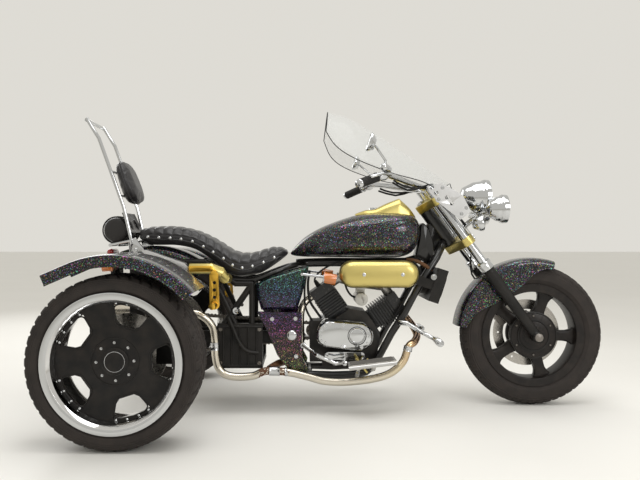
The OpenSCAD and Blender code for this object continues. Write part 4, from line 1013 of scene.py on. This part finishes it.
def cushion(name, shape, finish, voxel, most, node):
    """An even mesh of a start shape, swollen by at most `most` metres, then subdivided once."""
    piece = add(name, shape, finish, "chassis")
    even = piece.modifiers.new("even", "REMESH")
    even.mode, even.voxel_size = "VOXEL", voxel
    before = points_of(baked(piece))
    cloth = piece.modifiers.new("cloth", "CLOTH")
    cloth.settings.use_pressure = True
    cloth.settings.uniform_pressure_force = 4
    cloth.settings.effector_weights.gravity = 0
    for frame_number in range(1, 21):
        bpy.context.scene.frame_set(frame_number)
    swollen = points_of(baked(piece))
    bpy.context.scene.frame_set(1)
    moved = swollen - before
    far = np.linalg.norm(moved, axis=1, keepdims=True)
    after = before + moved * np.minimum(1, most / np.maximum(far, 1e-9))
    piece.data.vertices.foreach_set("co", after.ravel())
    print(name, "moved up to", round(float(far.max()) * 1000, 1), "mm")
    finer = piece.modifiers.new("finer", "SUBSURF")
    finer.levels = finer.render_levels = 1
    baked(piece)
    piece.data.shade_smooth()
    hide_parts(node)
    return piece


def snapped(piece, path, out=0.0):
    """A path pulled onto a piece's skin, out metres above it, and the skin's normals there. The subdivided
    piece has four corners to a face."""
    corners = np.empty(len(piece.data.loops), int)
    piece.data.loops.foreach_get("vertex_index", corners)
    tree = BVHTree.FromPolygons(points_of(piece.data).tolist(), corners.reshape(-1, 4).tolist())
    found = [tree.find_nearest(Vector(point)) for point in path]
    normals = np.array([hit[1] for hit in found])
    return np.array([hit[0] for hit in found]) + normals * out, normals


# %% The seat
SEAT_WIDTH = 320
seat_rows = smooth([
    [-896, 742, 758, 770, 0.3], [-886, 722, 764, 784, 0.37], [-850, 716, 767, 791, 0.42],
    [-791, 717, 765, 794, 0.44], [-741, 717, 762, 793, 0.45], [-692, 710, 758, 785, 0.45],
    [-643, 696, 745, 771, 0.45], [-590, 663, 717, 747, 0.46], [-540, 624, 689, 718, 0.47],
    [-496, 590, 657, 690, 0.49], [-447, 573, 640, 675, 0.5], [-398, 581, 645, 678, 0.48],
    [-349, 603, 662, 694, 0.43], [-300, 636, 684, 710, 0.37], [-268, 660, 698, 710, 0.3],
    [-248, 676, 692, 699, 0.22]], 4)


def seat_shape(rows, less=7.0, count=64):
    """Above the seam z = seam + rise * sine^1.16, and below it z = seam - drop * sine^0.3, while y = half
    width * cosine^0.7, all made less millimetres thinner, ready to swell."""
    x, under, seam, crest, half = (rows[:, i:i + 1] for i in range(5))
    t = np.linspace(0, 2 * pi, count, endpoint=False)[None]
    y = (half * SEAT_WIDTH - less) * powered(np.cos(t), 0.7)
    lift = np.where(np.sin(t) > 0, (crest - less - seam) * np.abs(np.sin(t)) ** 1.16,
                    -(seam - under - 2) * np.abs(np.sin(t)) ** 0.3)
    return loft(metres(np.stack([np.broadcast_to(x, y.shape), y, seam + lift], -1)))


seat = cushion("seat_cushion", seat_shape(seat_rows), seat_leather, 0.0065, 0.009,
               "seat")

# %% [markdown]
# ## Tuck and roll
#
# The seat's cover is sewn into soft rolls that run from side to side, and each roll is about 40 mm wide. The
# rolls follow the length of the saddle's curve, not its X, so they stay even over the dip. A point goes in
# by (1 - |sin|^0.5) of the depth, where the sine turns half way for each roll. Chrome studs hold the cover's
# lower edge.

# %% Sew the rolls
ROLL = 0.040
line = metres(seat_rows[:, [0, 3]])
length_along = np.concatenate([[0], np.cumsum(np.linalg.norm(np.diff(line, axis=0), axis=1))])
places, normals = points_of(seat.data), points_of(seat.data, "normal")
along = np.interp(places[:, 0], line[:, 0], length_along)
seam_here = np.interp(places[:, 0], line[:, 0], metres(seat_rows[:, 2]))
above = np.clip((places[:, 2] - seam_here + 0.008) / 0.009, 0, 1)
rolls = 1 - np.abs(np.sin(pi * along / ROLL)) ** 0.5
places -= normals * (0.0065 * rolls * above)[:, None]
places -= normals * (0.003 * np.exp(-((places[:, 2] - seam_here + 0.009) / 0.003) ** 2))[:, None]
seat.data.vertices.foreach_set("co", places.ravel())
seat.data.update()
print("rolls on the seat:", int(length_along[-1] / ROLL))

# %% Studs and piping
stud_x = np.interp(np.linspace(0.052, 0.052 + 12 * 0.049, 13), length_along, line[:, 0])
stud_z = np.interp(stud_x, line[:, 0], metres(seat_rows[:, 2])) - 0.027
stud_y = np.interp(stud_x, line[:, 0], metres(seat_rows[:, 4] * SEAT_WIDTH))
for side, sign in SIDES:
    on_skin, out = snapped(seat, np.column_stack([stud_x, sign * stud_y * 1.1, stud_z]))
    studs = copies(dome(0.0068, 0.004, 18), on_skin, out)
    add("seat_studs_" + side, studs, chrome, "chassis")
    rows = seat_rows[2:-3]
    path = metres(np.column_stack([rows[:, 0], sign * rows[:, 4] * SEAT_WIDTH * 1.1, rows[:, 2] - 42]))
    welt, _ = snapped(seat, path, 0.001)
    add("seat_welt_" + side, swept(welt, 0.0032, 10), seat_leather, "chassis")
print("studs on each side:", len(stud_x))

# %% [markdown]
# ## Backrest and roll bag
#
# The backrest pad is a small tight cushion with a welt round its edge. The roll bag is a drum of heavy
# leather with stiff piped ends and two straps, so it swells very little.

# %% The backrest pad
PAD_CENTRE, PAD_TILT = metres([-956.1, 0, 989.5]), radians(19.8)
PAD_TURN = np.array([[cos(PAD_TILT), 0, -sin(PAD_TILT)], [0, 1, 0], [sin(PAD_TILT), 0, cos(PAD_TILT)]])


def pad_point(x, y, z):
    """Pad millimetres (x forwards, z up its slope) to metres on the trike."""
    return metres(np.stack([x, y, z], -1)) @ PAD_TURN.T + PAD_CENTRE


def pad_shape():
    """A superellipsoid: its outline is a squared oval, it is thicker at its foot, and its sides are full."""
    lat = np.linspace(-pi / 2, pi / 2, 40)[1:-1, None]
    lon = np.linspace(0, 2 * pi, 72, endpoint=False)[None]
    size = powered(np.cos(lat), 0.26)
    y = 101 * size * powered(np.cos(lon), 0.62)
    z = 97 * size * powered(np.sin(lon), 0.62)
    return loft(pad_point((26 - 0.05 * z) * powered(np.sin(lat), 0.45) - 1, y, z))


pad = cushion("backrest", pad_shape(), seat_leather, 0.005, 0.006, "backrest_pad")
turn = np.linspace(0, 2 * pi, 97)
outline = pad_point(np.full(97, -3.0), 110 * powered(np.cos(turn), 0.62), 106 * powered(np.sin(turn), 0.62))
welt, _ = snapped(pad, outline, 0.0008)
add("backrest_welt", swept(welt, 0.003, 10, up=(1, 0, 0.36)), seat_leather, "chassis")

# %% The roll bag, its straps and the flap behind it
def bag_shape(radius=56.0, half=108.0):
    """A drum along Y, with rounded ends and a slow wrinkle: r = radius * (1 + 0.012 sin 5a cos 3y)."""
    along = np.linspace(-1, 1, 41)[:, None]
    angle = np.linspace(0, 2 * pi, 80, endpoint=False)[None]
    r = radius * (1 - np.abs(along) ** 14 * 0.2) * (1 + 0.012 * np.sin(5 * angle) * np.cos(3 * along))
    x, z = -992 + r * np.cos(angle), 776 + r * np.sin(angle)
    return loft(metres(np.stack([x, np.broadcast_to(half * along, x.shape), z], -1)))


bag = cushion("roll_bag_leather", bag_shape(), bag_leather, 0.0055, 0.005, "roll_bag")
middle = metres([-992, 0, 776])
piping = [turned([(0.054, y), (0.0575, y - 0.0022), (0.0605, y), (0.0575, y + 0.0022)], middle, (0, 1, 0), 72,
                 ring=True) for y in (-0.1, 0.1)]
straps = [turned([(0.0585, y - 0.011), (0.0622, y - 0.011), (0.0622, y + 0.011), (0.0585, y + 0.011)],
                 middle, (0, 1, 0), 72, ring=True) for y in (-0.055, 0.055)]
add("roll_bag_straps", together(*piping, *straps), grip_rubber, "chassis")
buckle = turned([(0.0125, -0.0015), (0.0155, -0.0015), (0.0155, 0.0015), (0.0125, 0.0015)], (0, 0, 0),
                (0, 0, 1), 4, ring=True)
spots = metres([[-992 - 62.5 * cos(0.5), y, 776 + 62.5 * sin(0.5)] for y in (-55, 55)])
add("strap_buckles", copies(buckle, spots, (-cos(0.5), 0, sin(0.5))), chrome, "chassis")
rows = np.linspace(0, 1, 16)[:, None]
across = np.linspace(-1, 1, 25)[None]
sag = 5 * np.sin(pi * rows) * (1 - across**2)
flap = metres(np.stack([-962 + 40 * rows - sag, 110 * across + 0 * rows, 852 - 86 * rows + 0 * across], -1))
add("back_flap", shell(flap, flap + metres([-3.0, 0, -1.2])), bag_leather, "chassis")

# %% [markdown]
# ## Engine dress
#
# Small parts make an engine believable: screws round the covers, plug caps with leads, hoses that leave the
# carburettors, and a cooling core of thin fins in the radiator. Each is a turned or swept shape, and the
# repeated ones are copies of one template.

# %% Cylinders, shocks and lamps get their own finishes
def cylinder_finish():
    """Black fins with scattered patches polished bare by wear, over a cast body."""
    f = Finish("cylinder_black", Coat_Weight=0.15)
    cloud = f.noise(0.04, 5.0)
    worn = (f.noise(0.012, 4.0) > 0.64) * 0.5
    f.paint(Base_Color=f.mix(worn, (0.008, 0.008, 0.0085), (0.14, 0.13, 0.125)), Metallic=worn,
            Roughness=cloud * 0.2 + 0.42, Normal=f.relief(f.noise(0.0018, 3.0), 0.00025))
    return f.material


def light_finish():
    """Red in the middle of the tail, amber at the sides, and chrome on the stalks between them."""
    f = Finish("lamp_colours", Coat_Weight=1.0, Coat_Roughness=0.03)
    x, y, _ = f.axes(f.where())
    side = y.through("ABSOLUTE")
    red = side < 0.08
    lamps = (x > -0.0905) * (x < -0.03)
    stalk = (1 - red) * (1 - lamps) * (x > -0.99)
    ribs = (y * 1300).through("SINE") * 0.5 + 0.5
    colour = f.mix(red, (0.58, 0.17, 0.03), (0.4, 0.015, 0.01))
    f.paint(Base_Color=f.mix(stalk, colour, (0.55, 0.56, 0.58)), Metallic=stalk,
            Roughness=f.noise(0.03) * 0.08 + 0.1, Normal=f.relief(ribs * (1 - stalk), 0.0003))
    return f.material


refine("cylinders", cylinder_finish(), 0.0012)
refine("rear_shocks", steel, 0.0015)
refine("rear_lights", light_finish(), 0.0015)

# %% Screws on the covers, caps and rings
def on_cover(points, out, sign):
    """Rows of X and Z, out millimetres from the trike's middle on one side."""
    p = np.asarray(points, float)
    return metres(np.column_stack([p[:, 0], np.full(len(p), sign * out), p[:, 1]]))


def spread(x, z, radius, first, last, count):
    """Places on an arc about X and Z, between two angles in degrees."""
    a = np.radians(np.linspace(first, last, count))
    return np.column_stack([x + radius * np.cos(a), z + radius * np.sin(a)])


screws = np.concatenate([spread(58, 322, 45, -75, 75, 5), spread(-62, 333, 43, 95, 190, 4),
                         spread(-84, 318, 21, 215, 270, 2), [[-8, 374], [-14, 281]]])
for side, sign in SIDES:
    out = (0, sign, 0)
    bright = [copies(bolt(0.0052, 0.005), on_cover(screws, 170.4, sign), out),
              copies(dome(0.022, 0.007, 36), on_cover([[-227.5, 325]], 150.4, sign), out),
              copies(bolt(0.006, 0.005), on_cover([[-312, 394], [-212, 396], [-209, 234]], 142.5, sign), out),
              lathe([(28, 173.8), (28, 176), (31, 176.4), (33, 174)], [50, 0, 326], out, 56, ring=True)]
    add("cover_screws_" + side, together(*bright), chrome, "chassis", 35)
    # A black ring on each chrome cover is painted shade for the groove in the cover; the groove itself is not
    # cut.
    dark = lathe([(37, 170), (37, 171.6), (40, 171.6), (40, 170)], [50, 0, 326], out, 64, ring=True)
    add("cover_groove_" + side, dark, engine_black, "chassis")
caps = copies(dome(0.0085, 0.003, 24), metres([[77, -211.2, 588.5], [239, -211.2, 588.5]]), (0, -1, 0))
add("air_cleaner_screws", caps, chrome, "chassis")
print("cover screws:", len(screws))

# %% Plug leads, hoses and looms
def tube(points, radius, steps=8):
    return swept(metres(smooth(points, steps)), radius, 14, up=(0.3, 1, 0.2))


plug_front, plug_rear = from_crank(55, 0, 262), from_crank(-35, 0, 262)
leads = together(
    tube([[plug_front[0], -30, plug_front[1]], [272, -62, 492], [262, -74, 540], [214, -64, 600],
          [170, -40, 640]], 0.004),
    tube([[plug_rear[0], -30, plug_rear[1]], [-128, -60, 556], [-110, -72, 590], [-60, -62, 622],
          [-10, -44, 640]], 0.004),
    tube([[-150, -84, 600], [-158, -92, 540], [-150, -90, 470], [-120, -84, 420], [-100, -70, 392]], 0.0055),
    tube([[-160, -70, 604], [-172, -86, 530], [-168, -84, 440], [-140, -70, 380]], 0.0045),
    tube([[300, -96, 640], [330, -98, 600], [318, -88, 560], [288, -84, 520], [262, -80, 470],
          [222, -82, 400]], 0.0055),
    tube([[20, -62, 632], [0, -76, 590], [8, -82, 530], [30, -78, 492], [60, -60, 478]], 0.0045))
add("leads_and_looms", leads, cable_black, "chassis")
hoses = together(tube([[276, -72, 648], [318, -92, 640], [352, -96, 622], [380, -92, 600]], 0.0085),
                 tube([[120, -66, 540], [158, -80, 528], [196, -80, 552], [232, -74, 590]], 0.007))
add("brown_hoses", hoses, brown_hose, "chassis")
boot = [(0, 0), (11, 0), (12, 4), (9, 9), (11, 12), (8, 16), (10, 19), (7, 34), (0, 36)]
caps_at = ((from_crank(55, 0, 258), radians(35)), (from_crank(-35, 0, 258), radians(125)))
boots = together(*[lathe(boot, [x, -30, z], (cos(a), -0.4, sin(a)), 24) for (x, z), a in caps_at])
add("plug_boots", boots, grip_rubber, "chassis")

# %% [markdown]
# ## Neck cover and battery side
#
# A pressed black cover fills the space between the tank's front and the steering neck. The battery box
# beside the chain has stiffening ribs, corner screws and a hose that crosses its face.

# %% Cover the neck and dress the battery box
def pressed_cover(outline, half, edge=5.0):
    """A closed outline carried along Y: the end rings are drawn in towards the outline's middle."""
    ring = smooth(np.array(outline + outline[:1], float), 6)[:-1]
    middle = ring.mean(0)
    rings = [np.column_stack([*(middle + (ring - middle) * share).T, np.full(len(ring), y)])
             for y, share in ((-half, 0.9), (-half + edge, 1), (half - edge, 1), (half, 0.9))]
    return loft(metres(np.array(rings)[:, :, [0, 2, 1]]))


cover = pressed_cover([[318, 652], [372, 636], [396, 664], [398, 720], [376, 786], [346, 806],
                       [338, 740]], 47)
add("neck_cover", cover, black_gloss, "chassis")
box_ribs = together(*[tube([[x, -151, 196], [x, -151, 270], [x, -151, 364]], 0.004)
                      for x in (-520, -485, -450, -415, -378)],
                    tube([[-540, -151, 362], [-450, -151, 364], [-356, -151, 362]], 0.005),
                    tube([[-540, -151, 198], [-450, -151, 196], [-356, -151, 198]], 0.005),
                    tube([[-500, -140, 400], [-476, -160, 352], [-452, -164, 300], [-420, -160, 262],
                          [-372, -146, 250]], 0.0085))
add("battery_ribs", both(box_ribs), black_satin, "chassis")
corners = metres([[-532, -150.5, 206], [-366, -150.5, 206], [-532, -150.5, 352], [-366, -150.5, 352],
                  [-466, -141, 428]])
box_screws = copies(bolt(0.006, 0.005), corners, (0, -1, 0))
add("battery_screws", both(box_screws), dark_steel, "chassis")
chrome_cap = lathe([(0, 2), (8, 2), (9, 6), (14, 7), (16, 4), (16, -4), (0, -4)], [-466, -142, 430],
                    (0, -1, 0), 36)
add("frame_cap", chrome_cap, chrome, "chassis")

# %% The radiator's core
def slab(x0, x1, y0, y1, z0, z1):
    """A thin plate with tapered long edges, as eight points and six faces."""
    soft = 0.25 * (z1 - z0)
    p = np.array([[x, y, z] for x in (x0, x1) for y in (y0, y1) for z in (z0, z1)], float)
    p[:, 2] += np.where(p[:, 0] == x1, np.where(p[:, 2] == z0, soft, -soft), 0)
    faces = [[0, 1, 3, 2], [4, 6, 7, 5], [0, 4, 5, 1], [2, 3, 7, 6], [0, 2, 6, 4], [1, 5, 7, 3]]
    return metres(p), np.array(faces)


tilt = radians(18)
lean = np.array([[cos(tilt), 0, sin(tilt)], [0, 1, 0], [-sin(tilt), 0, cos(tilt)]])
core = together(*[slab(-1, 2.6, -118, 118, z, z + 1.6) for z in np.arange(12, 138, 4.2)],
                *[slab(-1, 3.4, y, y + 5, 8, 140) for y in (-124, -42, 37, 119)])
core = (core[0] @ lean.T + metres([403, 0, 458]), core[1])
add("radiator_core", core, engine_black, "chassis")
cap_at = metres([384, -131.5, 574])
add("radiator_cap", copies(bolt(0.009, 0.006), [cap_at], (0, -1, 0)), chrome, "chassis")

# %% [markdown]
# ## Chain and springs
#
# The chain's outline is the tight band round its two sprockets. Its points are spread evenly, one link
# apart, and a small figure of a link plate sits at each. A spring is a circle carried along a helix, whose
# point is centre + radius * (cos, sin) while the height grows with the turns.

# %% Lay the chain
def belt(big, small, pitch):
    """Points one pitch apart round two circles (x, z, radius): arcs on both, joined by tangent lines."""
    d = sqrt((small[0] - big[0]) ** 2 + (small[1] - big[1]) ** 2)
    lead = np.arctan2(small[1] - big[1], small[0] - big[0])
    touch = np.arccos((big[2] - small[2]) / d)
    arcs = []
    for (x, z, r), first, last in ((big, lead + touch, lead - touch + 2 * pi),
                                   (small, lead - touch, lead + touch)):
        a = np.linspace(first, last, 80)
        arcs.append(np.column_stack([x + r * np.cos(a), z + r * np.sin(a)]))
    loop = np.concatenate([*arcs, arcs[0][:1]])
    far = np.concatenate([[0], np.cumsum(np.linalg.norm(np.diff(loop, axis=0), axis=1))])
    marks = np.linspace(0, far[-1], int(far[-1] / pitch), endpoint=False)
    return np.column_stack([np.interp(marks, far, loop[:, i]) for i in (0, 1)])


link = belt((REAR_X, REAR_Z, 100), (-135, 322, 34), 15.9)
plates = turned(metres([(0, 1.4), (6.5, 1.4), (7.4, 0.6), (7.4, 0), (0, 0)]), (0, 0, 0), (0, 0, 1), 8)
links = together(*[copies(plates, metres(np.insert(link, 1, 40 + s * 8.2, axis=1)), (0, s, 0)) for s in (-1, 1)])
add("chain_links", links, dark_steel, "chassis")
turns = np.linspace(0, 8 * 2 * pi, 8 * 28)
rise = 0.066 + 0.0023 * turns / 0.7
tip = radians(22)
spring = np.stack([np.cos(turns) * 0.0295, np.sin(turns) * 0.0295, rise], -1)
spring = np.stack([spring[:, 0] * cos(tip) + spring[:, 2] * sin(tip) - 0.8425, spring[:, 1] + 0.096,
                   -spring[:, 0] * sin(tip) + spring[:, 2] * cos(tip) + 0.308], -1)
coil = swept(spring, 0.0038, 10, up=(sin(tip), 0, cos(tip)))
add("shock_springs", both(coil), black_gloss, "chassis")
print("chain links:", len(link))

# %% [markdown]
# ## Controls and lamps
#
# Hands and feet meet rubber: ringed grips, ribbed boards. The lamps have a domed glass with a bright bezel,
# and the mirrors get a true mirror face.

# %% Grips and board ribs
grip_from, grip_to = metres([118, -308, 988]), metres([42, -390, 956])
reach = np.linalg.norm(grip_to - grip_from)
h = np.linspace(0.004, reach - 0.004, 61)
ridged = 0.0186 - 0.0011 * (np.abs(np.sin(h * pi / 0.0095)) < 0.42)
profile = [(0.012, 0), (0.0195, 0), (0.0205, 0.003), *zip(ridged, h), (0.0178, reach), (0.012, reach)]
grip = turned(profile, grip_from, grip_to - grip_from, 40)
add("grips", both(grip), grip_rubber, "steering", 30)
end = turned(metres([(0, 8), (9, 8), (14, 5), (18, 1), (18.4, -3), (12, -4), (0, -4)]), grip_to,
             grip_to - grip_from, 40)
ring = turned(metres([(17, -4), (20.5, -4), (21.5, 0), (20.5, 4), (17, 4)]), grip_from,
              grip_to - grip_from, 40, ring=True)
add("grip_ends", both(together(end, ring)), chrome, "steering")
pitch = radians(7)
ribs = []
for y in np.linspace(-34, 34, 7):
    x = np.linspace(-88, 88, 12)
    path = metres(np.column_stack([106 + x * cos(pitch) - 10 * sin(pitch), np.full(12, 240 + y),
                                   222 + x * sin(pitch) + 10 * cos(pitch)]))
    ribs.append(swept(path, 0.0032, 10))
edge_x = np.linspace(-99, 99, 14)
edge = metres(np.column_stack([106 + edge_x * cos(pitch), np.full(14, 284.5), 222 + edge_x * sin(pitch)]))
add("board_ribs", both(together(*ribs)), board_rubber, "chassis")
add("board_edges", both(swept(edge, 0.0062, 12)), steel, "chassis")
cross = together(tube([[44, -186, 234], [62, -184, 212], [92, -178, 172]], 0.005),
                 tube([[96, -188, 232], [74, -190, 208], [48, -184, 172]], 0.005))
add("gold_links", both(cross), gold, "chassis")

# %% Lamp glasses, bezels and mirror faces
def domed(radius, bulge, count=16):
    """A shallow cap: height = bulge * (1 - (r / radius)^2), closed by a flat back."""
    r = np.linspace(0, radius, count)
    return [*zip(r, bulge * (1 - (r / radius) ** 2) + 0.0006), (radius, -0.0005), (0, -0.0005)]


lamps = ((metres([646, 0, 924]), 0.078, 0.011), (metres([684, 150, 866]), 0.060, 0.008),
         (metres([684, -150, 866]), 0.060, 0.008))
forward = (1, 0, 0)
glass = together(*[turned(domed(r - 0.008, bulge), at, forward, 56) for at, r, bulge in lamps])
add("lamp_glasses", glass, lamp_glass, "steering")
bezels = together(*[turned([(r - 0.009, -0.002), (r - 0.0085, 0.004), (r - 0.004, 0.0062),
                            (r + 0.0005, 0.004), (r + 0.0012, -0.002), (r + 0.0012, -0.014),
                            (r - 0.002, -0.014), (r - 0.002, -0.002)], at, forward, 72, ring=True)
                    for at, r, bulge in lamps])
add("lamp_bezels", bezels, chrome, "steering")
mirror_glass = metal("mirror_glass", (0.88, 0.9, 0.92), 0.03, 0.02)
face_way = np.array([-sin(radians(72)), 0, cos(radians(72))])
face = turned(domed(0.0345, 0.001), metres([86, -384, 1120]) + face_way * 0.0061, face_way, 56)
add("mirror_faces", both(face), mirror_glass, "steering")
brim = turned([(0.0345, 0.0052), (0.0352, 0.0082), (0.0385, 0.0072), (0.0390, 0.004), (0.037, 0.003)],
              metres([86, -384, 1120]), face_way, 56, ring=True)
add("mirror_brims", both(brim), chrome, "steering")

# %% [markdown]
# ## Fasteners on the fork, shield and stays
#
# The last cells bolt the bought-in parts down, because a bracket with no bolt looks glued on.

# %% Bolts on the fork, brackets and stays
lean_angle = radians(36.2)


def fork_at(x, y, z):
    """A point z up the fork and x forwards of its legs, in metres on the trike."""
    return metres([FRONT_X + x * cos(lean_angle) - z * sin(lean_angle), y,
                   FRONT_Z + x * sin(lean_angle) + z * cos(lean_angle)])


up_fork = np.array([-sin(lean_angle), 0, cos(lean_angle)])
leg_caps = [turned(metres([(0, 7), (10, 7), (12, 5), (20, 3), (22, 0), (22, -2), (0, -2)]),
                   fork_at(0, s * 105, 800.5), up_fork, 40) for s in (-1, 1)]
stem_nut = turned(metres([(0, 12), (9, 12), (10, 9), (18, 9), (20, 6), (20, 0), (0, 0)]),
                  fork_at(-50, 0, 757), up_fork, 6)
ahead_of_fork = (cos(lean_angle), 0, sin(lean_angle))
pinch = together(*[copies(bolt(0.006, 0.006), [fork_at(31.2, s * 105, z)], ahead_of_fork)
                   for s in (-1, 1) for z in (510, 524, 732, 746)])
dust_seals = [turned(metres([(26, -8), (31.5, -8), (32, -4), (31, 4), (22, 9), (20.6, 9), (20.6, -8)]),
                     fork_at(0, s * 105, 399), up_fork, 48, ring=True) for s in (-1, 1)]
add("fork_bolts", together(*leg_caps, stem_nut, pinch, *dust_seals), chrome, "steering", 35)
shield_bolts = copies(bolt(0.006, 0.005), metres([[402, -145, 908], [500, -145, 846], [520, -145, 872],
                                                  [418, -145, 958]]), (0, -1, 0))
add("shield_bolts", both(shield_bolts), chrome, "steering")
stay_bolts = copies(bolt(0.0062, 0.006), metres([[-700, -290.2, 622], [-760, -290.2, 646],
                                                 [-808, -290.2, 662]]), (0, -1, 0))
foot_bolts = copies(bolt(0.009, 0.007), metres([[-900, -131.2, 690]]), (0, -1, 0))
add("stay_bolts", both(together(stay_bolts, foot_bolts)), chrome, "chassis")
caliper_bolts = copies(bolt(0.006, 0.006), [fork_at(-60, 81.2, 100), fork_at(-60, 81.2, 136)], (0, 1, 0))
add("caliper_bolts", caliper_bolts, steel, "steering")
